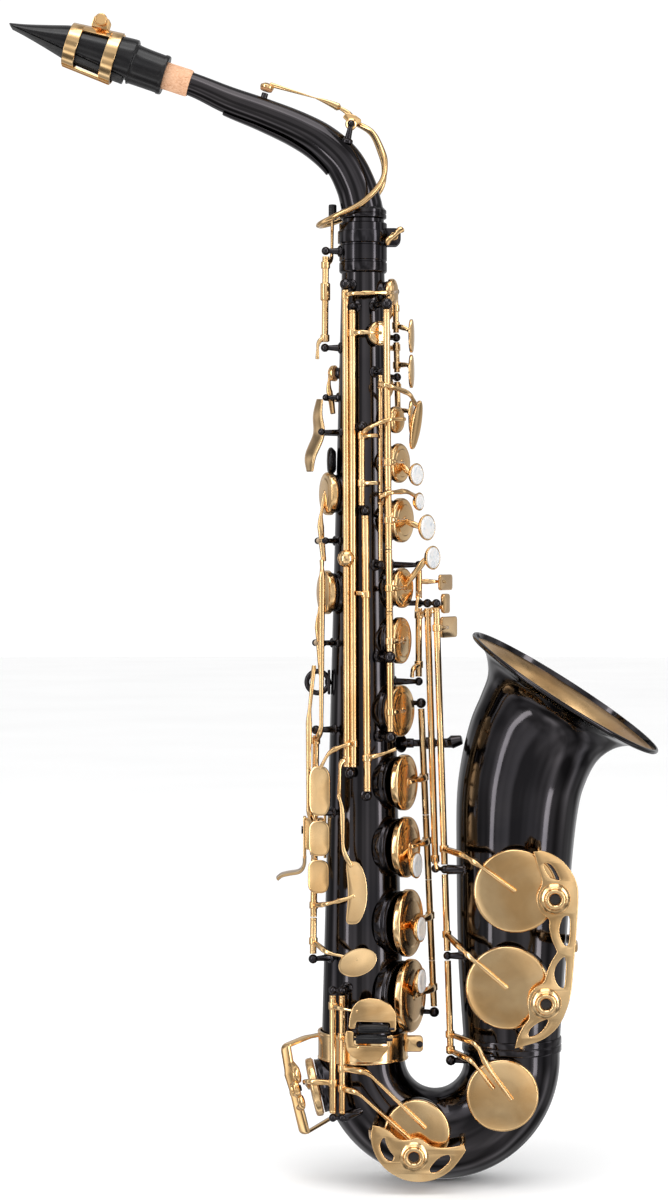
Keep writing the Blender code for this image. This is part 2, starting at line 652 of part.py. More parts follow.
def mouthpiece():
    body = stack([mouthpiece_ring(*row) for row in MOUTHPIECE])
    bore = [turned(mouthpiece_point(-1, 0), MOUTHPIECE_AXIS, [(0, 0), (0, 8.0), (19.5, 8.0), (19.5, 0)], 16),
            turned(mouthpiece_point(10, 0), MOUTHPIECE_AXIS, [(0, 0), (0, 6.0), (40, 4.6), (40, 0)], 12)]
    window = [mouthpiece_point(s, t, y) for s, t, y in (
        (44, -14, -5.2), (44, -14, 5.2), (44, 0, 5.2), (44, 0, -5.2))]
    far = [mouthpiece_point(s, t, y) for s, t, y in (
        (89, -14, -5.6), (89, -14, 5.6), (89, 0.15, 5.6), (89, 0.15, -5.6))]
    bore.append(stack([window, far]))
    piece("mouthpiece", [body], EBONITE, cuts=bore)
    rows = []
    cuts = ((TABLE_START + 1.5, 2.6, 6.2), (54, 2.6, 6.8), (62, 2.0, 7.0), (TIP - 0.6, 0.25, 7.4))
    for s, thick, half in cuts:
        top = table_height(s) - GAP
        rows.append([mouthpiece_point(s, t, y) for t, y in (
            (top, -half), (top, half), (top - thick * 0.55, half * 0.96), (top - thick, half * 0.72),
            (top - thick, -half * 0.72), (top - thick * 0.55, -half * 0.96))])
    piece("reed", [stack(rows)], REED)


def ligature():
    rows = ((28.5, 13.9, -14.0, 13.1), (58.0, 10.9, -11.7, 11.4))

    def sleeve(extra):
        rings = []
        for s, top, bottom, half in rows:
            middle, height = (top + bottom) / 2, (top - bottom) / 2 + extra
            ring = []
            for i in range(24):
                turn = math.tau * (i + 0.5) / 24
                up, side = height * math.sin(turn), (half + extra) * math.cos(turn)
                ring.append(mouthpiece_point(s, middle + up, side))
            rings.append(ring)
        return rings
    outer, inner = sleeve(1.5), sleeve(0.5)
    shapes = [stack(outer + inner[::-1], closed=True)]
    for side in (-1, 1):
        lug = [(-5, -2.4), (5, -2.9), (5, 4), (-5, 4)]
        middle = mouthpiece_point(43.2, 16.0, side * 3.0)
        down = mouthpiece_point(0, 1) - mouthpiece_point(0, 0)
        shapes.append(plate(lug, middle, MOUTHPIECE_AXIS, down, 1.8))
    across = [(35.5, 8.0), (51.5, 6.6), (51.5, -6.4), (35.5, -7.4)]
    window = [[mouthpiece_point(s, t, y) for s, t in across] for y in (-20, 20)]
    slot = [(33, 11), (53, 9.5), (53, 19), (33, 20)]
    split = [[mouthpiece_point(s, t, y) for s, t in slot] for y in (-1.6, 1.6)]
    centre = mouthpiece_point(43.2, 17.6, 0)
    near = Vector((0, -1, 0))
    hole = turned(centre, near, [(-8, 0), (-8, 1.9), (8, 1.9), (8, 0)], 8)
    piece("ligature", shapes, GOLD, cuts=[stack(window), stack(split), hole])
    profile = [(-5.6, 0), (-5.6, 1.3), (4.5, 1.3), (4.5, 3.4), (9.6, 3.4), (9.6, 0)]
    HINGES["ligature_screw"] = (centre, near)
    piece("ligature_screw", [turned(centre, near, profile, 10)], GOLD, centre)


def neck_screw():
    centre = Vector(NECK_SCREW)
    HINGES["neck_screw"] = (centre, Vector((0, -1, 0)))
    stem = turned(centre, (0, -1, 0), [(-7, 0), (-7, 1.6), (8.5, 1.6), (8.5, 0)], 10)
    wing = plate([(-5.5, -2.6), (-1, -1.6), (1, -1.6), (5.5, -2.6), (6.5, 2.4), (-6.5, 2.4)],
                 centre + Vector((0, -9.2, 0)), (0.75, 0, 0.66), (0, -1, 0), 1.8)
    piece("neck_screw", [stem, wing], GOLD, centre)


# ---- octave keys ---------------------------------------------------------------------
def octave_keys():
    pivot = Vector((-6.8, -4.4, 594.2))
    shapes = [sweep([pivot, pivot + Vector((0, 8.8, 0))], 1.9)]
    shapes.append(arm((-6.8, 0, 594.6), (-6.6, 0, 600.6), (-20.3, 0, 607.6), (-52.5, 0, 617.2)))
    profile = [(0, 0), (0, 3.9), (3.0, 3.9), (4.4, 2.4), (4.4, 0)]
    shapes.append(turned((-54.8, 0, 613.6), (0.3, 0, 0.95), profile, 10))
    loop = [(-5.6, 0, 596.0), (4.5, -4.2, 590.5), (10.0, -11.5, 580.0), (12.2, -15.0, 571.0),
            (10.0, -17.4, 560.0), (-0.8, -18.6, 548.5), (-15.6, -14.4, 541.5), (-24.0, -5.4, 538.2)]
    loop += [(x, -y, z) for x, y, z in reversed(loop)]
    rings = []
    for i, point in enumerate(loop):
        before, after = Vector(loop[i - 1]), Vector(loop[(i + 1) % len(loop)])
        rings.append(circle(Vector(point), after - before, 1.35, 6))
    del rings[-1]
    shapes.append(stack(rings, closed=True))
    key("neck_octave_key", (pivot, pivot + Vector((0, 8.8, 0))), shapes)
    shapes = [tube(OCTAVE_ROD, 471.8, 519.8), arm(OCTAVE_ROD(515), (-17.6, 1.8, 519), (-17.2, 1.8, 549.5))]
    shapes.append(turned(OCTAVE_ROD(500), (0, 0, 1), [(-5, 0), (-5, 2.8), (5, 2.8), (5, 0)], 10))
    shapes.append(arm(OCTAVE_ROD(474), (-25.5, -7.5, 472), (-25.8, -7.5, 462)))
    key("octave_rod", (OCTAVE_ROD(471.8), OCTAVE_ROD(519.8)), shapes)
    start = Vector((-23.4, -10.2, 421.0))
    shapes = [sweep([start, start + Vector((0, 20.4, 0))], 1.9)]
    lever = [(-24.4, 0, 440), (-25.6, 0, 431), (-25.0, 0, 420), (-29.6, 0, 408), (-30.0, 0, 399)]
    shapes.append(sweep(lever, [1.0, 1.2, 1.4, 1.3, 1.0], 8, squash=6.5, hint=Vector((1, 0, 0.3))))
    key("octave_lever", (start, start + Vector((0, 20.4, 0))), shapes)


def rocker_key(name, tail):
    """A side key whose cup and tail sit above and below a hinge across the tube."""
    theta, z, reach = ROCKERS[name]
    centre, along = rocker_frame(theta, z, reach)
    face = outward(theta)
    top = over_cup(name)
    shapes = [sweep([centre - along * ROCKER_HALF, centre + along * ROCKER_HALF], ROD_R)]
    shapes.append(arm(centre, centre.lerp(top, 0.45) + face * 1.5, top))
    shapes.append(arm(centre, centre + Vector((0, 0, -tail)) - face * 1.2))
    shapes.append(body_cup(name))
    key(name + "_key", (centre - along * ROCKER_HALF, centre + along * ROCKER_HALF), shapes)


def side_keys():
    rocker_key("side_c", 11.5)
    rocker_key("side_bb", 18.0)
    rocker_key("body_octave", 9.0)
    facing = Vector((-0.25, -1, 0)).normalized()
    across = Vector((1, -0.25, 0))

    def touch(centre, height, width=10.0):
        return plate([(width / 2 * u, height / 2 * v) for u, v in (
            (-0.7, -1), (0.7, -1), (1, -0.75), (1, 0.75), (0.7, 1), (-0.7, 1), (-1, 0.75), (-1, -0.75))],
            centre, across, (0, 0, 1), 2.0)

    shapes = [tube(SIDE_E_ROD, 234, 488.6, 1.5), body_cup("side_e")]
    shapes.append(arm(SIDE_E_ROD(476), (2.0, -22.0, 476), over_cup("side_e")))
    shapes.append(arm(SIDE_E_ROD(247), (-9.2, -30.0, 247), (-19, -30.4, 243), (-24.3, -28.2, 233)))
    shapes.append(touch(Vector((-24.4, -28.2, 220.8)), 26.4))
    key("side_e_key", (SIDE_E_ROD(234), SIDE_E_ROD(488)), shapes)
    shapes = [tube(HIGH_FS_ROD, 234, 500.0, 1.5), body_cup("high_fs")]
    shapes.append(arm(HIGH_FS_ROD(497.6), (-6.0, -21.5, 497.6), (4, -23.2, 497.8), (15.4, -17.5, 498.4),
                      over_cup("high_fs")))
    shapes.append(arm(HIGH_FS_ROD(238), (-13.0, -27.2, 237), (-13.6, -27.6, 216)))
    key("high_fs_key", (HIGH_FS_ROD(234), HIGH_FS_ROD(500)), shapes)
    shapes = [tube(TOUCH_ROD, 210.4, 251.0)]
    shapes.append(arm(TOUCH_ROD(214), (-27.2, -20.8, 210), (-26.6, -23.0, 205), (-25.2, -28.0, 201)))
    shapes.append(touch(Vector((-24.6, -28.4, 194.4)), 18.0))
    shapes.append(arm(TOUCH_ROD(248), (-23.5, -21.5, 254), (-23.0, -22.5, 342), (-23.2, -18.5, 349)))
    key("side_c_lever", (TOUCH_ROD(210.4), TOUCH_ROD(251)), shapes)
    shapes = [tube(TOUCH_ROD, 166.0, 204.2)]
    shapes.append(arm(TOUCH_ROD(186), (-27.2, -25.0, 183.2), (-25.4, -28.0, 180)))
    shapes.append(touch(Vector((-25.0, -28.6, 173.2)), 17.6))
    shapes.append(arm(TOUCH_ROD(202), (-30.8, -19.0, 208), (-30.4, -18.0, 262), (-27.6, -13.5, 290)))
    key("side_bb_lever", (TOUCH_ROD(166), TOUCH_ROD(204)), shapes)
    bean = []
    for i in range(14):
        turn = math.tau * i / 14
        u, v = 5.8 * math.cos(turn), 18.4 * math.sin(turn)
        bean.append((u - 0.011 * v * v + 1.8, v))
    shapes = [tube(TOUCH_ROD, 149.6, 163.6), plate(bean, (-5.0, -31.0, 164.5), (1, 0.1, 0), (0, 0, 1), 1.8)]
    shapes.append(arm(TOUCH_ROD(156), (-21, -31.0, 158), (-10, -32.2, 161), (-5.0, -31.6, 163)))
    shapes.append(arm((-7.0, -31.2, 180), (-16.6, -31.4, 198), (-18.2, -30.8, 219)))
    key("high_fs_lever", (TOUCH_ROD(149.6), TOUCH_ROD(163)), shapes)
    shapes = [tube(TOUCH_ROD, 129.0, 149.0)]
    shapes.append(plate(oval(22, 15, 14), (-3.4, -33.0, 126.0), (1, 0.1, 0.35), (-0.35, 0, 1), 1.8))
    shapes.append(arm(TOUCH_ROD(136), (-20, -31.5, 131), (-3.0, -33.3, 127.6)))
    key("fs_trill_touch", (TOUCH_ROD(129), TOUCH_ROD(149)), shapes)


# ---- stack keys ----------------------------------------------------------------------
def upper_stack():
    shapes = [tube(VENT_ROD, 379.6, 420.9, 1.7), body_cup("c_vent")]
    shapes.append(arm(VENT_ROD(419.0), (4.0, -26.4, 423.0), (15.0, -29.6, 427.0), (23.6, -19.0, 427.6),
                      over_cup("c_vent")))
    shapes.append(arm(VENT_ROD(392), (4.4, -23.4, 392), radius=1.5))
    key("c_vent_key", (VENT_ROD(380), VENT_ROD(420)), shapes, opened=-7)
    shapes = [tube(THIN_ROD, 387.0, 452.4, 1.2)]
    shapes.append(arm(THIN_ROD(447), (8.6, -25.5, 447), (14.0, -29.0, 446), (26.0, -19.5, 442),
                      (29.6, -10.4, 436)))
    shapes.append(plate(oval(9, 28, 12), (30.0, -9.8, 425), (0.2, 1, 0), (0, 0.1, 1), 1.8))
    key("front_f_key", (THIN_ROD(387), THIN_ROD(452)), shapes)
    shapes = [tube(THIN_ROD, 348.8, 386.5, 1.2)]
    shapes.append(arm(THIN_ROD(382), (9.0, -26.0, 384.0), (14.0, -30.5, 386.5), (24.0, -22.0, 387.6),
                      (30.6, -10.4, 384.4)))
    shapes.append(pearl_seat((31.0, -8.6, 383.0), (0.93, -0.36, 0), 4.6))
    key("bis_key", (THIN_ROD(349), THIN_ROD(386)), shapes)
    pearls = {"b": ((29.8, -8.6, 399.4), 5.4), "a": ((34.8, -7.6, 369.2), 6.4),
              "g": ((36.8, -8.0, 350.6), 6.4)}
    spans = {"b": (388.0, 488.6), "a": (355.2, 387.6), "g": (320.6, 354.8)}
    for name, (seat, radius) in pearls.items():
        low, high = spans[name]
        rod_point = UPPER_ROD(BODY_HOLES[name][1])
        top = over_cup(name)
        shapes = [tube(UPPER_ROD, low, high), body_cup(name)]
        shapes.append(arm(rod_point, rod_point.lerp(top, 0.4) + outward(50) * 2.2, top))
        shapes.append(pearl_seat(seat, (0.94, -0.34, 0), radius))
        shapes.append(arm(top - outward(68) * 1.0, Vector(seat) - Vector((2.8, 0, 0)), Vector(seat)))
        key(name + "_key", (UPPER_ROD(low), UPPER_ROD(high)), shapes, opened=-7)
    for name, low, high in (("g_sharp", 298.4, 320.2), ("alt_fs", 253.8, 292.0)):
        rod_point = UPPER_ROD(BODY_HOLES[name][1])
        shapes = [tube(UPPER_ROD, low, high), body_cup(name)]
        top = over_cup(name)
        shapes.append(arm(rod_point, rod_point.lerp(top, 0.4) + outward(50) * 2.2, top))
        key(name + "_key", (UPPER_ROD(low), UPPER_ROD(high)), shapes)
    shapes = [tube(TRILL_ROD, 220.6, 373.8, 1.7)]
    shapes.append(arm(TRILL_ROD(239), (9.0, -30.6, 241), (18.0, -31.0, 244.4)))
    shapes.append(arm(TRILL_ROD(330), (-3.4, -26.4, 331), radius=1.5))
    key("fs_trill_lever", (TRILL_ROD(221), TRILL_ROD(373)), shapes)


def lower_stack():
    pearls = {"f": (28.6, -18.6, 179.4), "e": (30.4, -18.6, 143.8), "d": (31.2, -19.4, 115.0)}
    spans = (("fs", 205.0, 265.0), ("f", 168.2, 204.6), ("e", 122.2, 167.8), ("d", 95.8, 121.8))
    for name, low, high in spans:
        theta, z, _ = BODY_HOLES[name]
        top = over_cup(name)
        rod_point = LOWER_ROD(z + 2)
        shapes = [tube(LOWER_ROD, low, high), body_cup(name)]
        shapes.append(arm(rod_point, rod_point.lerp(top, 0.5) + outward(85) * 2.6, top, radius=1.6))
        if name in pearls:
            seat = Vector(pearls[name])
            shapes.append(pearl_seat(seat + outward(theta) * 2.4, outward(theta), 7.2))
            shapes.append(arm(top - outward(theta) * 1.1, seat, seat + outward(theta) * 1.8, radius=1.55))
        key(name + "_key", (LOWER_ROD(low), LOWER_ROD(high)), shapes, opened=6)


# ---- little-finger keys --------------------------------------------------------------
def bell_keys():
    def table_plate(low, high, front, back, x=47.0):
        middle = Vector((x, (front + back) / 2, (low + high) / 2))
        wide, tall = (back - front) / 2, (high - low) / 2
        corners = [(-wide, -tall), (wide, -tall), (wide, tall), (-wide, tall)]
        return plate(corners, middle, (0, 1, 0), (0, 0, 1), 1.8)

    shapes = [tube(BELL_ROD, 178.2, 322.0), side_cup("low_bb")]
    shapes.append(arm(BELL_ROD(187), (64.4, -37.0, 183.0), over_side_cup("low_bb"), radius=1.7))
    shapes.append(arm(BELL_ROD(311), (45.4, -2.0, 311), (46.6, 4.0, 311)))
    shapes.append(table_plate(305, 317, 2.0, 24.0))
    key("low_bb_key", (BELL_ROD(178.2), BELL_ROD(322)), shapes, opened=-5)
    shapes = [tube(BELL_ROD_2, 178.2, 322.0)]
    shapes.append(arm(BELL_ROD_2(181), (40.4, -12.5, 179.4), (41.4, -17.0, 175.6)))
    shapes.append(arm(BELL_ROD_2(319), (42.0, 1.5, 321.5), (46.8, 5.0, 324), radius=1.2))
    shapes.append(table_plate(319, 330, 0.0, 11.0))
    key("low_b_lever", (BELL_ROD_2(178.2), BELL_ROD_2(322)), shapes)
    shapes = [tube(BELL_ROD, 129.8, 172.6), side_cup("low_b")]
    shapes.append(arm(BELL_ROD(139), (64.0, -36.4, 128.0), over_side_cup("low_b"), radius=1.7))
    key("low_b_key", (BELL_ROD(129.8), BELL_ROD(172.6)), shapes, opened=-5)
    shapes = [tube(TABLE_ROD, 283.2, 322.0), arm(TABLE_ROD(290), (28.0, -2.6, 288), (27.6, -3.4, 283))]
    shapes.append(arm(TABLE_ROD(318), (38.0, 12.0, 321), (46.8, 17.0, 324), radius=1.2))
    shapes.append(table_plate(319, 330, 12.8, 24.0))
    key("low_cs_lever", (TABLE_ROD(283), TABLE_ROD(322)), shapes)
    shapes = [tube(TABLE_ROD, 327.6, 343.6), table_plate(332, 341, 2.0, 24.0)]
    shapes.append(arm(TABLE_ROD(337), (40.0, 5.0, 337), (46.8, 8.0, 337)))
    shapes.append(arm(TABLE_ROD(331), (31.0, -4.5, 329), (29.8, -7.0, 320)))
    key("g_sharp_lever", (TABLE_ROD(327.6), TABLE_ROD(343)), shapes)
    shapes = [tube(BELL_ROD, 71.9, 124.2), side_cup("low_cs")]
    top = over_side_cup("low_cs")
    shapes.append(arm(BELL_ROD(83), (62.5, -34.0, 81.5), top + Vector((5, -0.3, -2)), radius=1.5))
    shapes.append(arm(BELL_ROD(74), (60.0, -34.0, 72.0), top + Vector((-5, -0.3, 4)), radius=1.5))
    key("low_cs_key", (BELL_ROD(71.2), BELL_ROD(124)), shapes)


def pinky_keys():
    far = Vector((0, 1, 0))
    shapes = [tube(EB_ROD, 41.0, 106.8), side_cup("low_eb")]
    top = over_side_cup("low_eb")
    shapes.append(arm(EB_ROD(58), (-31.5, -22.0, 58), (-32.6, -8, 55), top, radius=1.5))
    shapes.append(arm(EB_ROD(101), (-12.0, -37.0, 101), (-3.0, -41.4, 100)))
    shapes.append(plate([(-11.5, -5.0), (11.5, -5.0), (12.0, 3.0), (9.0, 7.4), (-8.0, 7.4), (-12.5, 2.0)],
                        (5.5, -41.0, 98.6), (1, 0.05, 0), (0, 0, 1), 2.0))
    ear = [(-2.0, -3.2), (2.0, -3.2), (2.0, 3.2), (-2.0, 3.2)]
    for x in (-4.6, 15.2):
        shapes.append(plate(ear, (x, -41.2, 91.4), far, (0, 0, 1), 1.2))
    key("low_eb_key", (EB_ROD(41), EB_ROD(106)), shapes)
    shapes = [tube(C_ROD, 41.0, 106.8), side_cup("low_c")]
    top = over_side_cup("low_c")
    shapes.append(arm(C_ROD(66), (2.6, -35.0, 65.6), top + Vector((5, -0.4, 3)), radius=1.5))
    shapes.append(arm(C_ROD(55), (-3.0, -35.4, 54.6), top + Vector((3, -0.4, -9)), radius=1.5))
    shapes.append(arm(C_ROD(84), (-6.5, -38.0, 81), (-1.0, -41.4, 80)))
    shapes.append(plate([(-10.0, -5.4), (9.0, -6.4), (12.0, -1.0), (11.5, 4.6), (-11.5, 4.6), (-12.0, -1.0)],
                        (5.2, -41.0, 77.6), (1, 0.05, 0), (0, 0, 1), 2.0))
    ear = [(-2.0, -3.0), (2.0, -3.0), (2.0, 3.0), (-2.0, 3.0)]
    for x in (-4.6, 15.2):
        shapes.append(plate(ear, (x, -41.2, 84.0), far, (0, 0, 1), 1.2))
    key("low_c_key", (C_ROD(41), C_ROD(106)), shapes, opened=-4)
    swing = Quaternion((0, 0, 1), math.radians(-4)).to_matrix()
    for name, z in (("eb_roller", 90.4), ("c_roller", 84.8)):
        centre = Vector((5.3, -41.2, z))
        axis = Vector((1, 0, 0))
        if name == "c_roller":
            centre = C_ROD(z) + swing @ (centre - C_ROD(z))
            axis = swing @ axis
        HINGES[name] = (centre, axis)
        profile = [(-8.6, 0), (-8.6, 2.1), (-7.2, 2.5), (7.2, 2.5), (8.6, 2.1), (8.6, 0)]
        piece(name, [turned(centre, axis, profile, 12)], EBONITE, centre)


def palm_keys():
    for name, low, high, touch_z in (("palm_d", 429.8, 450.4, 434), ("palm_eb", 455.8, 472.8, 460),
                                     ("palm_f", 478.2, 498.6, 480)):
        theta, z, _ = BODY_HOLES[name]
        top = over_cup(name)
        start = PALM_ROD(min(max(z, low + 3), high - 3))
        middle = around((theta + 118) / 2, 25.5, z)
        shapes = [tube(PALM_ROD, low, high, 1.7), body_cup(name), arm(start, middle, top)]
        shapes.append(arm(PALM_ROD(low + 4), (27.5, 5.6, touch_z), (29.4, 3.4, touch_z - 2)))
        shapes.append(plate(oval(9.4, 19, 12), (30.0, 2.6, touch_z - 4), (0.25, 1, 0), (0, 0, 1), 1.8))
        key(name + "_key", (PALM_ROD(low), PALM_ROD(high)), shapes)


# ---- the whole instrument ------------------------------------------------------------
def build():
    body_tube()
    bow()
    bell()
    joints_of_the_tubes()
    bell_brace()
    strap_ring()
    thumb_hook()
    thumb_rest()
    guards()
    neck()
    mouthpiece()
    ligature()
    neck_screw()
    octave_keys()
    side_keys()
    upper_stack()
    lower_stack()
    bell_keys()
    pinky_keys()
    palm_keys()


build()
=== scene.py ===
"""Looks of an alto saxophone in black nickel with gold-lacquered keys.

Pieces are drawn in millimetres on the model's bench: X runs from the body tube to the
bell, Y to the player's left, Z up the body tube.  show() moves them to the frame, whose
origin is the strap ring.  A key is drawn closed and then turned to its opening at rest.
"""
import math

import bmesh
import bpy
from mathutils import Matrix, Quaternion, Vector


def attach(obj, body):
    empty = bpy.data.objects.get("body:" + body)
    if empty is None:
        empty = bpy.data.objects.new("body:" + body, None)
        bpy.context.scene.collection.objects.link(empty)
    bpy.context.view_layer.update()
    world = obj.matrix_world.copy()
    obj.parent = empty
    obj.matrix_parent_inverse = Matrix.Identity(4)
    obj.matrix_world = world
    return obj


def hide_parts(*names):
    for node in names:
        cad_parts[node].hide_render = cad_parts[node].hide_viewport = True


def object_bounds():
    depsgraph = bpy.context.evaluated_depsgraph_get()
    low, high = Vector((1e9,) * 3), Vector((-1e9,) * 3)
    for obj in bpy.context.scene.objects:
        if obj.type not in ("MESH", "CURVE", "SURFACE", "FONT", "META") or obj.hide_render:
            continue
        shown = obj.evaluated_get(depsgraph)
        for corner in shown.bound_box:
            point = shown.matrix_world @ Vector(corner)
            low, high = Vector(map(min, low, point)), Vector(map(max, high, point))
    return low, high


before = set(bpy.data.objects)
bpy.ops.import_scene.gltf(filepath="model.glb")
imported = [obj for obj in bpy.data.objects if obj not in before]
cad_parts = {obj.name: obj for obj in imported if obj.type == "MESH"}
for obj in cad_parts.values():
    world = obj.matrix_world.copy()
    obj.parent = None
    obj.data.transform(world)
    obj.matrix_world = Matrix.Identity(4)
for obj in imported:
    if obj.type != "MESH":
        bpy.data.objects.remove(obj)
CAD_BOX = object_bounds()

# ---- driving dimensions, millimetres and degrees -------------------------------------
MM = 0.001
GAP = 0.35
WALL = 0.9
RING_X, RING_Z = -25.6, 280.2
ORIGIN = Vector((RING_X, 0, RING_Z))

BODY_FOOT_Z, BODY_TOP_Z = 70.0, 512.0
BODY_FOOT_R, BODY_TAPER = 23.5, 0.02587
RECEIVER_R, RECEIVER_TOP_Z = 13.5, 539.0
NECK_SCREW = Vector((17.4, 0, 531.0))
BOW_R, BOW_Z = 42.1, 66.7
BOW_IN_R, BOW_OUT_R = 23.8, 27.2
BELL_X = 2 * BOW_R
BELL_LEAN = 0.105             # how far the mouth of the bell turns to the player's right
CUP_LIFT = 2.4
PAD = 1.6
ROD_R = 1.9
LONG_ROD_R = 1.85             # rods of the side E and high F sharp keys
THIN_ROD_R = 1.2              # rods of the front F and bis keys
TRILL_ROD_R = 2.1
SHORT_ROD_R = 1.7             # rods of the C vent and palm keys
ARM_R = 1.3
ROUND = 0.35                  # radius that takes the sharpness off machined edges
FINE = 96                     # facets round the big tubes
NEAR = Vector((0, -1, 0))
UP = Vector((0, 0, 1))
ALONG_X = Vector((1, 0, 0))


# ---- the outline of the instrument ---------------------------------------------------
def body_radius(z):
    return BODY_FOOT_R - BODY_TAPER * (z - BODY_FOOT_Z)


def around(theta, radius, z):
    """A point at an angle round the body tube: 0 is the player's right, 90 the bell."""
    turn = math.radians(theta)
    return Vector((radius * math.sin(turn), -radius * math.cos(turn), z))


def outward(theta):
    return around(theta, 1.0, 0.0)


def bow_point(angle):
    turn = math.radians(angle)
    return Vector((BOW_R * (1 - math.cos(turn)), 0, BOW_Z - BOW_R * math.sin(turn)))


def bow_radius(angle):
    return BOW_IN_R + (BOW_OUT_R - BOW_IN_R) * angle / 180


# bell stations: centre X, centre Z, outside radius, forward tilt of the section
BELL = [
    (84.2, 78.0, 27.3, 0), (84.2, 125.0, 30.4, 1), (85.4, 177.0, 32.5, 2),
    (87.3, 211.0, 34.4, 4), (90.6, 230.0, 35.6, 11), (96.4, 247.0, 37.4, 18),
    (103.6, 257.5, 40.0, 22), (110.4, 264.5, 44.4, 26), (113.9, 269.0, 50.8, 30),
    (114.6, 271.4, 56.6, 32), (113.6, 273.2, 61.0, 32.2)]
# neck stations: centre X, centre Z, outside radius
NECK = [
    (-96.7, 617.3, 6.6), (-76.0, 608.4, 7.7), (-55.4, 600.9, 8.3), (-36.5, 592.9, 9.1),
    (-22.5, 584.6, 10.1), (-11.0, 573.5, 10.9), (-4.0, 560.0, 11.3), (-0.4, 547.0, 11.7)]
MOUTHPIECE_END = Vector((-111.4, 0, 622.1))
MOUTHPIECE_AXIS = Vector((-87.3, 0, 28.5)).normalized()


# ---- curves and solids ---------------------------------------------------------------
def frame_for(axis, hint=UP):
    """Two unit vectors square to an axis, the first as near to hint as it can be."""
    axis = axis.normalized()
    if abs(axis.dot(hint)) > 0.95:
        hint = UP if abs(axis.z) < 0.7 else ALONG_X
    first = (hint - axis * axis.dot(hint)).normalized()
    return first, axis.cross(first)


def soften(points, radius, closed=False, steps=4):
    """Rounds the corners of a line of points with arcs that reach radius along each side."""
    count = len(points)
    smooth = []
    for i, corner in enumerate(points):
        if not closed and i in (0, count - 1):
            smooth.append(corner)
            continue
        before, after = points[i - 1], points[(i + 1) % count]
        into, out = before - corner, after - corner
        if min(into.length, out.length) < 1e-6 or into.angle(out) > math.radians(172):
            smooth.append(corner)
            continue
        start = corner + into.normalized() * min(radius, into.length * 0.45)
        end = corner + out.normalized() * min(radius, out.length * 0.45)
        for step in range(steps + 1):
            share = step / steps
            smooth.append(start.lerp(corner, share).lerp(corner.lerp(end, share), share))
    return smooth


def flow(points, steps=6, closed=False):
    """A Catmull-Rom line through points, which may be vectors of any size."""
    count = len(points)
    line = []
    for i in range(count if closed else count - 1):
        if closed:
            a, b, c, d = (points[(i + k) % count] for k in (-1, 0, 1, 2))
        else:
            b, c = points[i], points[i + 1]
            a = points[i - 1] if i else b + (b - c)
            d = points[i + 2] if i + 2 < count else c + (c - b)
        for step in range(steps):
            t = step / steps
            line.append(((b * 2) + (c - a) * t + (a * 2 - b * 5 + c * 4 - d) * t ** 2
                         + (b * 3 - a - c * 3 + d) * t ** 3) / 2)
    if not closed:
        line.append(points[-1].copy())
    return line


def stack(rings, closed=False):
    """Skins a list of rings; one-point rings close it, or the last meets the first."""
    mesh = bmesh.new()
    rows = [[mesh.verts.new(point) for point in ring] for ring in rings]
    pairs = list(zip(rows, rows[1:]))
    if closed:
        pairs.append((rows[-1], rows[0]))
    for low, high in pairs:
        count = max(len(low), len(high))
        for i in range(count):
            j = (i + 1) % count
            corners = [low[i % len(low)], low[j % len(low)], high[j % len(high)], high[i % len(high)]]
            face = list(dict.fromkeys(corners))
            if len(face) > 2:
                mesh.faces.new(face)
    if not closed:
        for row in (rows[0], rows[-1]):
            if len(row) > 2:
                mesh.faces.new(row)
    bmesh.ops.recalc_face_normals(mesh, faces=mesh.faces)
    return mesh


def section(centre, first, second, radius, sides, squash=1.0, power=1.0):
    """An oval ring; a power under 1 squares its corners off."""
    ring = []
    for i in range(sides):
        turn = math.tau * (i + 0.5) / sides
        u, v = math.cos(turn), math.sin(turn)
        u = math.copysign(abs(u) ** power, u)
        v = math.copysign(abs(v) ** power, v) * squash
        ring.append(centre + (first * u + second * v) * radius)
    return ring


def circle(centre, axis, radius, sides, hint=Vector((0, 1, 0)), squash=1.0):
    return section(centre, *frame_for(axis, hint), radius, sides, squash)


def bar(points, radii, sides=16, squash=1.0, hint=Vector((0, 1, 0)), power=1.0, closed=False):
    """A bar along a line of points whose section doesn't twist."""
    rings = []
    first = None
    count = len(points)
    for i, point in enumerate(points):
        before = points[i - 1] if closed or i else point
        after = points[(i + 1) % count] if closed or i + 1 < count else point
        axis = (after - before).normalized()
        first = frame_for(axis, hint if first is None else first)[0]
        rings.append(section(point, first, axis.cross(first), radii[i], sides, squash, power))
    if closed:
        return stack(rings, closed=True)
    for at, to in ((0, 1), (-1, -2)):
        edge = min(0.4, (points[at] - points[to]).length * 0.3) / max((points[at] - points[to]).length, 1e-6)
        middle = points[at]
        inner = [p.lerp(q, edge) for p, q in zip(rings[at], rings[to])]
        rim = [middle + (p - middle) * 0.82 for p in rings[at]]
        cap = [middle + (p - middle) * 0.6 for p in rings[at]]
        if at == 0:
            rings[0:1] = [cap, rim, inner]
        else:
            rings[-1:] = [inner, rim, cap]
    return stack(rings)


def sweep(points, radius, squash=1.0, hint=Vector((0, 1, 0)), bend=5.0, sides=16, power=1.0):
    """A bar bent through points, with its radius given once or at each point."""
    points = [Vector(p) for p in points]
    radii = radius if isinstance(radius, (list, tuple)) else [radius] * len(points)
    joined = soften([Vector((*p, r)) for p, r in zip(points, radii)], bend, steps=6)
    return bar([p.xyz for p in joined], [p.w for p in joined], sides, squash, hint, power)


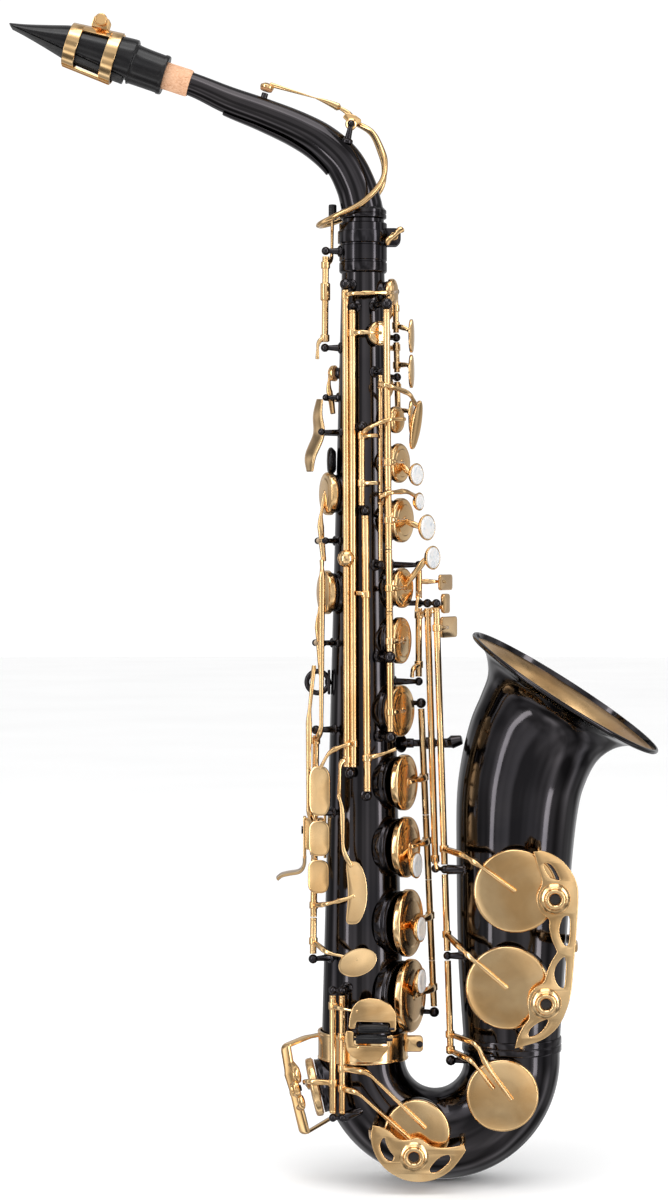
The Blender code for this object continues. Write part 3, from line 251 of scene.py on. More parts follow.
def turned(centre, axis, profile, sides=0, edge=ROUND):
    """A turned solid; profile lists (distance along axis, radius) from end to end."""
    axis = Vector(axis).normalized()
    line = soften([Vector(p) for p in profile], edge, steps=3)
    sides = sides or max(20, min(64, int(max(r for _, r in profile) * 5)))
    rings = []
    for along, radius in line:
        middle = Vector(centre) + axis * along
        rings.append([middle] if radius < 1e-5 else circle(middle, axis, radius, sides))
    for at, to in ((0, 1), (-1, -2)):
        if len(rings[at]) == 1 and len(rings[to]) > 1:
            inset = [p.lerp(rings[at][0], 0.12) for p in rings[to]]
            rings.insert(1 if at == 0 else len(rings) - 1, inset)
    return stack(rings)


def turned_ring(centre, axis, loop, sides=64, edge=ROUND):
    """A turned solid with a hole through it; loop is its closed section."""
    axis = Vector(axis).normalized()
    line = soften([Vector(p) for p in loop], edge, closed=True, steps=3)
    return stack([circle(Vector(centre) + axis * a, axis, r, sides) for a, r in line], closed=True)


def offset(outline, inset):
    """Moves a closed outline inwards along the middle of each corner."""
    moved = []
    area = sum(a.x * b.y - b.x * a.y for a, b in zip(outline, outline[1:] + outline[:1]))
    side = 1 if area > 0 else -1
    for i, point in enumerate(outline):
        ahead = (outline[(i + 1) % len(outline)] - outline[i - 1]).normalized()
        moved.append(point + Vector((-ahead.y, ahead.x)) * (inset * side))
    return moved


def plate(outline, centre, across, up, thickness, corner=1.6, crown=0.0):
    """A flat plate with rounded corners and edges; crown lifts its middle on both faces."""
    across = Vector(across).normalized()
    up = Vector(up).normalized()
    normal = across.cross(up).normalized()
    line = soften([Vector(p) for p in outline], corner, closed=True, steps=5)
    middle = sum(line, Vector((0, 0))) / len(line)
    half = thickness / 2
    edge = min(0.45, half * 0.8)

    def ring(points, height):
        return [Vector(centre) + across * p.x + up * p.y + normal * height for p in points]

    side = [(offset(line, edge), half), (offset(line, edge * 0.3), half - edge * 0.3), (line, half - edge)]
    if crown:
        inner = [([p.lerp(middle, share) for p in side[0][0]], half + crown * (1 - (1 - share) ** 2))
                 for share in (0.85, 0.65, 0.45, 0.25, 0.08)]
        side = inner + side
    top = [ring(points, height) for points, height in side]
    low = [ring(points, -height) for points, height in reversed(side)]
    return stack(top + low)


def oval(width, height, sides=40):
    return [(width / 2 * math.cos(math.tau * i / sides), height / 2 * math.sin(math.tau * i / sides))
            for i in range(sides)]


def cut_plate(outlines, centre, across, up, thickness, edge=0.5):
    """A flat plate with windows: the first outline is its edge and the others are holes."""
    drawing = bpy.data.curves.new("cut_plate", "CURVE")
    drawing.dimensions = "2D"
    drawing.fill_mode = "BOTH"
    drawing.extrude = thickness / 2 - edge
    drawing.bevel_depth = edge
    drawing.bevel_resolution = 2
    drawing.offset = -edge
    for outline in outlines:
        spline = drawing.splines.new("POLY")
        spline.points.add(len(outline) - 1)
        for point, (u, v) in zip(spline.points, outline):
            point.co = (u, v, 0, 1)
        spline.use_cyclic_u = True
    holder = bpy.data.objects.new("cut_plate", drawing)
    bpy.context.collection.objects.link(holder)
    made = bpy.data.meshes.new_from_object(holder.evaluated_get(bpy.context.evaluated_depsgraph_get()))
    bpy.data.objects.remove(holder)
    bpy.data.curves.remove(drawing)
    mesh = bmesh.new()
    mesh.from_mesh(made)
    bpy.data.meshes.remove(made)
    bmesh.ops.remove_doubles(mesh, verts=mesh.verts, dist=0.001)
    across = Vector(across).normalized()
    up = Vector(up).normalized()
    turn = Matrix((across, up, across.cross(up))).transposed().to_4x4()
    bmesh.ops.transform(mesh, matrix=Matrix.Translation(Vector(centre)) @ turn, verts=mesh.verts)
    bmesh.ops.recalc_face_normals(mesh, faces=mesh.faces)
    return mesh


def ball(centre, radius=2.9, axis=UP):
    """A turned ball whose axis follows the hinge."""
    profile = []
    for step in range(13):
        turn = math.pi * step / 12
        profile.append((-radius * math.cos(turn), radius * math.sin(turn)))
    profile[0], profile[-1] = (-radius, 0), (radius, 0)
    return turned(centre, axis, profile, sides=24, edge=0.01)


def slotted(centre, facing, radius):
    """The head of a screw with a slot across it."""
    facing = Vector(facing).normalized()
    first, second = frame_for(facing)
    shapes = [turned(centre, facing, [(-0.6, 0), (-0.6, radius), (0.25, radius), (0.25, 0)], 24, 0.1)]
    slot = radius * 0.16
    reach = math.asin(slot / radius)
    for side in (1, -1):
        arc = []
        for i in range(13):
            turn = reach + (math.pi - 2 * reach) * i / 12
            arc.append((radius * math.cos(turn) * 0.98, side * radius * math.sin(turn) * 0.98))
        shapes.append(plate(arc, Vector(centre) + facing * 0.45, first, second, 0.5, corner=0.02))
    return shapes


def hub(rod, z, radius):
    """The collar where an arm is brazed to a hinge tube."""
    axis = rod(z + 1) - rod(z)
    return turned(rod(z), axis, [(-2.0, 0), (-2.0, radius), (2.0, radius), (2.0, 0)], 28, 0.5)


def tube(rod, low, high, radius=ROD_R):
    """A hinge tube with a turned line near each end."""
    start, end = rod(low), rod(high)
    length = (end - start).length
    groove = radius - 0.18
    profile = [(0, 0), (0, radius), (1.3, radius), (1.5, groove), (1.7, radius)]
    profile += [(length - along, r) for along, r in reversed(profile)]
    return turned(start, end - start, profile, 24, 0.1)


def arm(*points, radius=ARM_R, taper=1.0):
    """A strap-shaped key arm with bent corners."""
    radii = [radius * (1.12 - (1.12 - 0.92 * taper) * i / (len(points) - 1)) for i in range(len(points))]
    return sweep(points, radii, squash=0.86, bend=4.0, sides=16, power=0.62)


# ---- materials -----------------------------------------------------------------------
class Paint:
    """A Principled material and the nodes that vary it."""

    def __init__(self, name, **values):
        self.material = bpy.data.materials.new(name)
        self.material.use_nodes = True
        self.nodes = self.material.node_tree.nodes
        self.shader = self.nodes["Principled BSDF"]
        self.place = self.nodes.new("ShaderNodeTexCoord").outputs["Object"]
        for socket, value in values.items():
            self.shader.inputs[socket.replace("_", " ")].default_value = value

    def link(self, source, target):
        self.material.node_tree.links.new(source, target)

    def stretched(self, scale, turn=(0, 0, 0)):
        node = self.nodes.new("ShaderNodeMapping")
        node.inputs["Scale"].default_value = scale
        node.inputs["Rotation"].default_value = turn
        self.link(self.place, node.inputs["Vector"])
        return node.outputs["Vector"]

    def noise(self, scale, detail=4.0, distortion=0.0, place=None):
        node = self.nodes.new("ShaderNodeTexNoise")
        node.inputs["Scale"].default_value = scale
        node.inputs["Detail"].default_value = detail
        node.inputs["Distortion"].default_value = distortion
        self.link(place or self.place, node.inputs["Vector"])
        return node.outputs["Fac"]

    def cells(self, scale, place=None, feature="F1"):
        node = self.nodes.new("ShaderNodeTexVoronoi")
        node.feature = feature
        node.inputs["Scale"].default_value = scale
        self.link(place or self.place, node.inputs["Vector"])
        return node.outputs["Distance"]

    def ramp(self, source, *stops):
        node = self.nodes.new("ShaderNodeValToRGB")
        band = node.color_ramp
        while len(band.elements) < len(stops):
            band.elements.new(0.5)
        for element, (position, colour) in zip(band.elements, stops):
            element.position = position
            element.color = (*colour, 1)
        self.link(source, node.inputs["Fac"])
        return node.outputs["Color"]

    def span(self, source, low, high, start=0.3, end=0.7):
        node = self.nodes.new("ShaderNodeMapRange")
        for socket, value in (("From Min", start), ("From Max", end), ("To Min", low), ("To Max", high)):
            node.inputs[socket].default_value = value
        self.link(source, node.inputs["Value"])
        return node.outputs["Result"]

    def colour(self, source):
        self.link(source, self.shader.inputs["Base Color"])

    def roughness(self, source):
        self.link(source, self.shader.inputs["Roughness"])

    def bump(self, source, strength, depth):
        node = self.nodes.new("ShaderNodeBump")
        node.inputs["Strength"].default_value = strength
        node.inputs["Distance"].default_value = depth
        self.link(source, node.inputs["Height"])
        self.link(node.outputs["Normal"], self.shader.inputs["Normal"])


def metal(name, dark, light, rough, polish, patch=26.0, coat=0.0):
    """Plated or lacquered metal: soft colour patches, buffing haze and fine wipe marks."""
    paint = Paint(name, Metallic=1.0, Coat_Weight=coat, Coat_Roughness=0.06)
    cloud = paint.noise(patch, 5.0, 0.6)
    paint.colour(paint.ramp(cloud, (0.34, dark), (0.66, light)))
    paint.roughness(paint.span(paint.noise(patch * 4, 6.0, 1.2), *rough))
    wiped = paint.noise(900.0, 3.0, 0.2, paint.stretched((1.0, 1.0, 0.12)))
    paint.bump(wiped, polish, 0.00004)
    return paint.material


def make_looks():
    """Every material, by the name that show() takes."""
    looks = {
        "black_nickel": metal("black_nickel_plate", (0.036, 0.034, 0.038), (0.056, 0.051, 0.053),
                              (0.06, 0.12), 0.08, 18.0),
        "gold_lacquer": metal("gold_lacquer_finish", (0.80, 0.49, 0.21), (0.93, 0.65, 0.34),
                              (0.11, 0.19), 0.04, 30.0, 0.1),
        "bell_gold": metal("bell_inside_lacquer", (0.62, 0.37, 0.16), (0.80, 0.53, 0.26),
                           (0.26, 0.40), 0.35, 22.0),
        "resonator": metal("resonator_metal", (0.55, 0.42, 0.26), (0.72, 0.60, 0.42), (0.2, 0.3), 0.2, 60.0)}

    paint = Paint("ebonite_polished", Coat_Weight=0.15, Coat_Roughness=0.08, Specular_IOR_Level=0.28)
    paint.colour(paint.ramp(paint.noise(35.0, 6.0, 0.8), (0.35, (0.004, 0.004, 0.005)),
                            (0.7, (0.011, 0.010, 0.010))))
    paint.roughness(paint.span(paint.noise(260.0, 5.0), 0.14, 0.27))
    paint.bump(paint.noise(1400.0, 3.0), 0.12, 0.00004)
    looks["ebonite"] = paint.material

    paint = Paint("mother_of_pearl", Coat_Weight=0.9, Coat_Roughness=0.04, Specular_IOR_Level=0.6)
    swirl = paint.noise(170.0, 3.0, 3.0, paint.stretched((1.0, 1.0, 0.45), (0.3, 0.5, 0.2)))
    paint.colour(paint.ramp(swirl, (0.28, (0.42, 0.45, 0.50)), (0.45, (0.64, 0.66, 0.67)),
                            (0.58, (0.72, 0.68, 0.66)), (0.72, (0.50, 0.55, 0.53))))
    paint.roughness(paint.span(swirl, 0.12, 0.3))
    paint.bump(swirl, 0.15, 0.0001)
    looks["pearl"] = paint.material

    paint = Paint("pad_leather", Coat_Weight=0.15, Coat_Roughness=0.35)
    grain = paint.cells(1500.0, feature="DISTANCE_TO_EDGE")
    paint.colour(paint.ramp(paint.noise(90.0, 6.0, 0.5), (0.3, (0.30, 0.13, 0.045)),
                            (0.7, (0.50, 0.25, 0.10))))
    paint.roughness(paint.span(paint.noise(500.0), 0.42, 0.62))
    paint.bump(grain, 0.5, 0.0002)
    looks["pad_leather"] = paint.material

    paint = Paint("bumper_felt", Roughness=0.95, Sheen_Weight=0.6, Sheen_Roughness=0.5)
    fibres = paint.noise(1900.0, 6.0, 2.0)
    paint.colour(paint.ramp(fibres, (0.3, (0.006, 0.006, 0.007)), (0.75, (0.035, 0.033, 0.034))))
    paint.bump(fibres, 0.9, 0.0003)
    looks["felt"] = paint.material

    paint = Paint("natural_cork", Roughness=0.85)
    fleck = paint.noise(620.0, 6.0, 1.2, paint.stretched((0.6, 1.0, 1.0)))
    paint.colour(paint.ramp(fleck, (0.30, (0.36, 0.17, 0.09)), (0.40, (0.60, 0.32, 0.18)),
                            (0.60, (0.70, 0.42, 0.26)), (0.75, (0.63, 0.36, 0.21))))
    paint.bump(paint.cells(800.0), 0.35, 0.0002)
    looks["cork"] = paint.material

    paint = Paint("reed_resin", Coat_Weight=0.1, Coat_Roughness=0.3)
    fibre = paint.noise(700.0, 6.0, 0.3, paint.stretched((0.05, 1.0, 1.0), (0, 0.316, 0)))
    paint.colour(paint.ramp(fibre, (0.3, (0.010, 0.010, 0.011)), (0.7, (0.028, 0.027, 0.026))))
    paint.roughness(paint.span(fibre, 0.38, 0.52))
    paint.bump(fibre, 0.4, 0.0001)
    looks["reed_resin"] = paint.material
    return looks


LOOKS = make_looks()
SHARP = math.radians(38)


def show(name, body, shapes, look, stands_for=(), turn=None):
    """Joins shapes in one piece, in the frame's metres, that rides on a body."""
    together = bmesh.new()
    for shape in shapes:
        loose = bpy.data.meshes.new(name)
        shape.to_mesh(loose)
        shape.free()
        together.from_mesh(loose)
        bpy.data.meshes.remove(loose)
    move = Matrix.Scale(MM, 4) @ Matrix.Translation(-ORIGIN)
    bmesh.ops.transform(together, matrix=move @ (turn or Matrix()), verts=together.verts)
    mesh = bpy.data.meshes.new(name)
    together.to_mesh(mesh)
    together.free()
    mesh.materials.append(LOOKS[look])
    mesh.shade_smooth()
    mesh.set_sharp_from_angle(angle=SHARP)
    made = bpy.data.objects.new(name, mesh)
    bpy.context.collection.objects.link(made)
    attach(made, body)
    if stands_for:
        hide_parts(*stands_for)
    return made


def drilled(name, body, shape, drills, look, stands_for):
    """A piece with holes cut through its wall."""
    made = show(name, body, [shape], look, stands_for)
    cutter = show(name + "_drills", body, drills, look)
    step = made.modifiers.new("holes", "BOOLEAN")
    step.operation = "DIFFERENCE"
    step.solver = "MANIFOLD"
    step.object = cutter
    cut = bpy.data.meshes.new_from_object(made.evaluated_get(bpy.context.evaluated_depsgraph_get()))
    made.modifiers.clear()
    made.data = cut
    cut.set_sharp_from_angle(angle=SHARP)
    bpy.data.objects.remove(cutter)
    return made


TURNS = {}


def key(name, hinge, shapes, opened=0.0):
    """A key's metal, turned about its hinge by its opening at rest."""
    start, end = Vector(hinge[0]), Vector(hinge[1])
    swing = Quaternion((end - start).normalized(), math.radians(opened)).to_matrix().to_4x4()
    TURNS[name] = Matrix.Translation(start) @ swing @ Matrix.Translation(-start)
    return show(name + "_metal", name, shapes, "gold_lacquer", [name], TURNS[name])


def with_key(name, part, shapes, look):
    """Something fixed to a key that is already drawn."""
    return show(f"{name}_{part}", name, shapes, look, turn=TURNS[name])


# ---- tone holes, pads and cups -------------------------------------------------------
# name: angle round the tube, height, cup radius
BODY_HOLES = {
    "c_vent": (64, 427.7, 7.6), "b": (68, 403.6, 11.2), "a": (68, 371.5, 12.6),
    "g": (68, 333.5, 11.4), "g_sharp": (66, 304.0, 13.2), "alt_fs": (60, 264.6, 14.6),
    "fs": (60, 224.4, 15.8), "f": (60, 188.2, 17.2), "e": (61, 145.6, 19.0), "d": (62, 104.8, 20.6),
    "side_e": (30, 475.9, 7.0), "high_fs": (72, 500.0, 7.4),
    "side_c": (-72, 386.5, 12.2), "side_bb": (-72, 331.0, 12.4),
    "palm_d": (150, 448.0, 9.4), "palm_eb": (172, 470.0, 8.8), "palm_f": (140, 492.0, 8.2),
    "body_octave": (-115, 455.0, 4.6)}
# bow and bell tone holes: centre on the tube's middle line, direction, cup radius, rim distance
SIDE_HOLES = {
    "low_eb": (bow_point(13), Vector((-0.975, -0.05, -0.21)), 16.6, 26.4),
    "low_c": (Vector((30.0, 0, 31.5)), NEAR, 18.4, 27.2),
    "low_cs": (Vector((77.1, 0, 52.0)), NEAR, 20.2, 29.2),
    "low_b": (Vector((81.6, 0, 112.8)), NEAR, 23.2, 32.4),
    "low_bb": (Vector((86.2, 0, 166.7)), NEAR, 23.2, 34.8)}


def hole_place(name):
    """Where a tone hole starts, its direction, its cup's radius and how far out its rim is."""
    if name in SIDE_HOLES:
        centre, facing, radius, reach = SIDE_HOLES[name]
        return centre, facing.normalized(), radius, reach
    theta, z, radius = BODY_HOLES[name]
    return Vector((0, 0, z)), outward(theta), radius, body_radius(z) + CUP_LIFT


def pad_seat(name):
    centre, facing, _, reach = hole_place(name)
    return centre + facing * (reach + GAP)


def chimneys(names, depth):
    """Drawn tone holes with rolled rims and a soft root on the tube."""
    made = []
    for name in names:
        centre, facing, radius, reach = hole_place(name)
        outer = radius - 1.6
        inner = radius - 2.6
        loop = [(reach - depth, inner), (reach - 0.1, inner), (reach, inner + 0.5), (reach, outer - 0.1),
                (reach - 0.5, outer + 0.35), (reach - 1.0, outer), (reach - CUP_LIFT + 0.3, outer),
                (reach - CUP_LIFT - 1.0, outer + 0.7), (reach - depth, outer + 0.7)]
        made.append(turned_ring(centre, facing, loop, 56, 0.3))
    return made


def drills(names, depth):
    made = []
    for name in names:
        centre, facing, radius, reach = hole_place(name)
        ends = [(reach - depth, 0), (reach - depth, radius - 2.55), (reach + 3, radius - 2.55),
                (reach + 3, 0)]
        made.append(turned(centre, facing, ends, 56, 0.01))
    return made


def cup_rise(radius):
    return PAD + (2.4 if radius < 12 else 3.2)


def cup(name):
    """A key cup: a skirt round the pad, a rolled shoulder and a shallow stepped crown."""
    _, facing, radius, _ = hole_place(name)
    top = cup_rise(radius)
    profile = [(1.0, 0), (1.0, radius - 1.1), (0.7, radius - 0.9), (0.7, radius - 0.1), (1.2, radius),
               (top - 1.3, radius - 0.05), (top - 0.55, radius - 0.45), (top - 0.18, radius - 1.2)]
    if name in SIDE_HOLES:
        profile += [(top + 0.1, radius * 0.8), (top + 0.32, radius * 0.5), (top + 0.4, 0)]
    else:
        profile += [(top - 0.05, radius * 0.78), (top + 0.0, radius * 0.72), (top + 0.3, radius * 0.66),
                    (top + 0.36, radius * 0.4), (top + 0.4, 0)]
    return turned(pad_seat(name), facing, profile, 64, 0.5)


def over_cup(name, extra=0.2):
    """The middle of the top of a closed cup."""
    _, facing, radius, _ = hole_place(name)
    return pad_seat(name) + facing * (cup_rise(radius) + extra)


def cup_foot(name, at=None, size=2.3):
    """The flat washer where an arm is brazed to the top of its cup."""
    _, facing, _, _ = hole_place(name)
    at = over_cup(name, 0) if at is None else Vector(at)
    return turned(at, facing, [(-0.6, 0), (-0.6, size), (0.75, size), (0.75, 0)], 28, 0.3)


def pad_in(name, body):
    """The leather pad and its resonator under a cup."""
    _, facing, radius, _ = hole_place(name)
    profile = [(0.08, 0), (0.08, radius - 3.6), (0.2, radius - 2.9), (0.02, radius - 2.1),
               (0.1, radius - 1.1),
               (0.6, radius - 0.72), (1.3, radius - 0.8), (1.3, 0)]
    with_key(body, "pad", [turned(pad_seat(name), facing, profile, 56, 0.3)], "pad_leather")
    disc = radius * 0.42
    profile = [(-0.55, 0), (-0.5, disc * 0.25), (-0.25, disc * 0.35), (-0.2, disc * 0.9), (0.3, disc),
               (0.6, 0)]
    with_key(body, "resonator", [turned(pad_seat(name), facing, profile, 40, 0.15)], "resonator")


def pearl_seat(centre, facing, radius=6.8):
    """The metal dish that holds a pearl."""
    profile = [(-1.6, 0), (-1.6, radius - 2.0), (-0.4, radius - 0.6), (0.9, radius), (1.5, radius - 0.05),
               (1.5, radius - 0.75), (0.9, radius - 0.9), (0.9, 0)]
    return turned(centre, facing, profile, 48, 0.3)


def pearl(name, centre, facing, radius=6.8):
    """A pearl with a hollowed face, set in its dish."""
    inside = radius - 0.85
    profile = [(0.6, 0), (0.6, inside), (1.7, inside), (2.15, inside * 0.84), (1.95, inside * 0.5), (1.85, 0)]
    with_key(name, "pearl", [turned(centre, facing, profile, 48, 0.45)], "pearl")


# ---- hinge lines ---------------------------------------------------------------------
def line(low, high):
    """A straight hinge line, read by height."""
    low, high = Vector(low), Vector(high)

    def at(z):
        return low + (high - low) * ((z - low.z) / (high.z - low.z))
    return at


UPPER_ROD = line((15.0, -26.5, 254), (12.7, -22.5, 499))
LOWER_ROD = line((40.5, 6.0, 93), (33.0, 3.0, 265))
HIGH_FS_ROD = line((-9.2, -24.5, 234), (-10.0, -15.5, 499))
SIDE_E_ROD = line((-5.5, -25.4, 234), (-6.2, -17.0, 499))
THIN_ROD = line((9.5, -21.0, 350), (9.5, -17.5, 450))
VENT_ROD = line((-1.0, -21.5, 380), (-1.0, -20.0, 420))
TRILL_ROD = line((2.2, -27.0, 222), (1.0, -22.0, 375))
BELL_ROD = line((49.2, -14.0, 69), (41.0, -8.0, 326.7))
BELL_ROD_2 = line((44.0, -9.2, 69), (36.2, -3.2, 326.7))
TABLE_ROD = line((31.6, 4.0, 280), (31.6, 4.0, 345))
TOUCH_ROD = line((-28.1, -18.5, 127), (-26.5, -14.5, 251))
PALM_ROD = line((20.0, 11.0, 428), (18.4, 9.8, 498))
OCTAVE_ROD = line((-21.5, -5.0, 470), (-21.0, -5.0, 530))
EB_ROD = line((-17.0, -26.5, 41), (-17.0, -26.5, 106))
C_ROD = line((-11.8, -27.2, 41), (-11.8, -27.2, 106))
ROCKERS = {"side_c": (-72, 360.0, 8.5), "side_bb": (-72, 302.5, 8.5), "body_octave": (-115, 441.0, 6.0)}
ROCKER_HALF = 4.6


def on_body(point, sink=WALL * 0.6):
    """The nearest point of the body tube's wall at the same height."""
    reach = (RECEIVER_R if point.z > BODY_TOP_Z else body_radius(point.z)) - sink
    flat = Vector((point.x, point.y, 0)).normalized()
    return flat * reach + Vector((0, 0, point.z))


def shaft(foot, heads, radii, flange=None):
    """A post's turned shaft through one or more balls, with a foot that sits on the tube."""
    shapes = [sweep([foot, *heads], radii, bend=1.5, sides=20)]
    flange = (heads[0] - foot) if flange is None else flange
    rise = flange.normalized()
    shapes.append(turned(foot, rise, [(-0.8, 0), (-0.8, radii[0] + 1.3), (1.1, radii[0] + 1.2),
                                      (1.7, radii[0] + 0.1), (2.6, 0)], 28, 0.5))
    return shapes


def stand(rod, z, radius=2.9, foot=None):
    """A post on the body tube for a hinge line; foot moves its root round the tube."""
    head = rod(z)
    foot = on_body(head) if foot is None else on_body(around(foot, 1, z))
    outside = Vector((foot.x, foot.y, 0))
    return shaft(foot, [head], [2.1, 1.25], outside) + [ball(head, radius, rod(z + 1) - head)]


def rocker_frame(theta, z, reach):
    """Hinge centre and hinge direction of a side key that rocks on the tube."""
    return around(theta, body_radius(z) + reach, z), outward(theta + 90)


# ---- body, bow and bell --------------------------------------------------------------
def body():
    clear = [(BODY_FOOT_Z + (BODY_TOP_Z - 1.5 - BODY_FOOT_Z) * i / 70) for i in range(71)]
    outside = [(z, body_radius(z)) for z in clear]
    # the receiver: a flared shoulder, two turned lines and a thicker top ring
    outside += [(BODY_TOP_Z - 0.8, RECEIVER_R - 0.4), (BODY_TOP_Z, RECEIVER_R), (516.4, RECEIVER_R),
                (516.8, RECEIVER_R - 0.4), (517.6, RECEIVER_R - 0.4), (518.0, RECEIVER_R),
                (526.0, RECEIVER_R),
                (526.4, RECEIVER_R - 0.4), (527.2, RECEIVER_R - 0.4), (527.6, RECEIVER_R),
                (RECEIVER_TOP_Z - 0.5, RECEIVER_R), (RECEIVER_TOP_Z, RECEIVER_R - 0.5)]
    inside = [(RECEIVER_TOP_Z, 12.4), (BODY_TOP_Z + 1.5, 12.3)]
    inside += [(z, body_radius(z) - WALL) for z in reversed(clear)]
    rings = [circle(Vector((0, 0, z)), UP, r, FINE) for z, r in outside + inside]
    holes = drills(BODY_HOLES, 9.0)
    drilled("body_shell", "root", stack(rings, closed=True), holes, "black_nickel", ["body_tube"])
    show("body_tone_holes", "root", chimneys(BODY_HOLES, 7.5), "black_nickel")

    posts = []
    for rod, heights, radius in (
            (UPPER_ROD, (491.8, 295.2, 250.6), 3.3),
            (HIGH_FS_ROD, (503.4,), 3.2), (SIDE_E_ROD, (491.2,), 1.9), (THIN_ROD, (454.6, 346.4), 1.9),
            (VENT_ROD, (423.6,), 2.3), (TRILL_ROD, (376.6, 217.8), 2.5), (TABLE_ROD, (346.4, 280.4), 2.4),
            (TOUCH_ROD, (254.0, 207.4, 126.0), 2.6), (PALM_ROD, (501.4, 475.4, 453.0, 427.0), 2.4),
            (OCTAVE_ROD, (468.6, 523.0), 2.4)):
        for z in heights:
            posts += stand(rod, z, radius)
    posts += stand(LOWER_ROD, 268.2, foot=140) + stand(LOWER_ROD, 92.4, foot=130)
    twin = Vector((-7.4, -24.9, 230.4))
    posts += shaft(around(-22, 18.6, 230.4), [twin], [2.4, 1.4]) + [ball(twin)]
    # the bridge that carries the tops of the three bell-key rods
    knots = [TABLE_ROD(324.8), BELL_ROD_2(324.8), BELL_ROD(324.8)]
    posts += shaft(around(95, 15.8, 324.8), knots, [1.5, 1.4, 1.4, 1.2], outward(95))
    posts += [ball(knot, 2.5) for knot in knots]
    pair = [C_ROD(109.6), EB_ROD(109.6)]
    posts += shaft(around(-25, 21.8, 109.6), pair, [2.4, 1.5, 1.3]) + [ball(head, 2.3) for head in pair]
    for theta, z, reach in ROCKERS.values():
        centre, along = rocker_frame(theta, z, reach)
        for side in (-1, 1):
            head = centre + along * (side * (ROCKER_HALF + 2.4))
            posts += shaft(on_body(head), [head], [1.6, 1.1], outward(theta)) + [ball(head, 2.0, along)]
    for side in (-1, 1):
        head = Vector((-23.4, side * 12.6, 421.0))
        posts += shaft(on_body(head), [head], [1.7, 1.1], -ALONG_X) + [ball(head, 2.0, NEAR)]
    show("body_posts", "root", posts, "black_nickel")

    lugs = []
    for side in (-1, 1):
        lugs.append(plate([(-4.6, -5), (2.0, -5), (4.2, -2.5), (4.2, 2.5), (2.0, 5), (-4.6, 5)],
                          NECK_SCREW + Vector((-0.4, side * 3.4, 0)), ALONG_X, UP, 2.2, corner=1.2))
    lugs.append(turned_ring((0, 0, 531), UP, [(-3.4, 13.2), (3.4, 13.2), (3.4, 14.3), (-3.4, 14.3)], FINE))
    show("receiver_clamp", "root", lugs, "black_nickel")


def bow():
    stations = [(Vector((0, 0, 69.5)), -UP, BOW_IN_R)]
    for i in range(61):
        angle = i * 3
        axis = Vector((math.sin(math.radians(angle)), 0, -math.cos(math.radians(angle))))
        stations.append((bow_point(angle), axis, bow_radius(angle)))
    stations.append((Vector((BELL_X, 0, 77.5)), UP, BOW_OUT_R))
    outside = [circle(c, a, r, FINE) for c, a, r in stations]
    inside = [circle(c, a, r - WALL, FINE) for c, a, r in reversed(stations)]
    names = ("low_eb", "low_c", "low_cs")
    drilled("bow_shell", "root", stack(outside + inside, closed=True), drills(names, 9.0), "black_nickel",
            ["bow"])
    show("bow_tone_holes", "root", chimneys(names, 7.5), "black_nickel")
    pair = [C_ROD(38.4), EB_ROD(38.4)]
    posts = shaft(Vector((0.5, -20.0, 42.0)), pair, [2.4, 1.5, 1.3],
                  NEAR) + [ball(head, 2.3) for head in pair]
    head = BELL_ROD(68.4)
    posts += shaft(Vector((60.5, -11.5, 68.2)), [head], [2.2, 1.4]) + [ball(head)]
    show("bow_posts", "root", posts, "black_nickel")


def bell():
    stations = flow([Vector(row) for row in BELL], 8)
    placed = []
    for x, z, radius, tilt in stations:
        turn = math.radians(tilt)
        lean = -BELL_LEAN * tilt / BELL[-1][3]
        axis = Vector((math.sin(turn), lean, math.cos(turn))).normalized()
        placed.append((Vector((x, 0, z)), axis, radius))
    outside = [circle(c, a, r, FINE) for c, a, r in placed]
    rim, facing, reach = placed[-1]
    # the rolled rim: over the edge and back inside
    for i in range(9):
        turn = math.pi * (i / 8) * 1.25 - 0.3
        outside.append(circle(rim + facing * (1.3 - 1.2 * math.cos(turn)), facing,
                              reach - 0.35 + 1.2 * math.sin(turn), FINE))
    inside = [circle(c, a, r - WALL, FINE) for c, a, r in reversed(placed[:-1])]
    names = ("low_b", "low_bb")
    drilled("bell_shell", "root", stack(outside + inside, closed=True), drills(names, 9.5), "black_nickel",
            ["bell"])
    show("bell_tone_holes", "root", chimneys(names, 8.0), "black_nickel")
    lining = []
    for c, a, r in placed[8:-2]:
        lining.append(circle(c, a, r - WALL - 0.12, FINE))
    back = [circle(c, a, r - WALL - 0.02, FINE) for c, a, r in reversed(placed[8:-2])]
    show("bell_lining", "root", [stack(lining + back, closed=True)], "bell_gold")
    posts = []
    for z in (175.4, 127.0):
        heads = [BELL_ROD(z)] + ([BELL_ROD_2(z)] if z > 150 else [])
        posts += shaft(Vector((BELL_X - 26.5, -13.0, z)), heads, [2.4, 1.6, 1.3][:1 + len(heads)])
        posts += [ball(head, 2.4) for head in heads]
    show("bell_posts", "root", posts, "black_nickel")


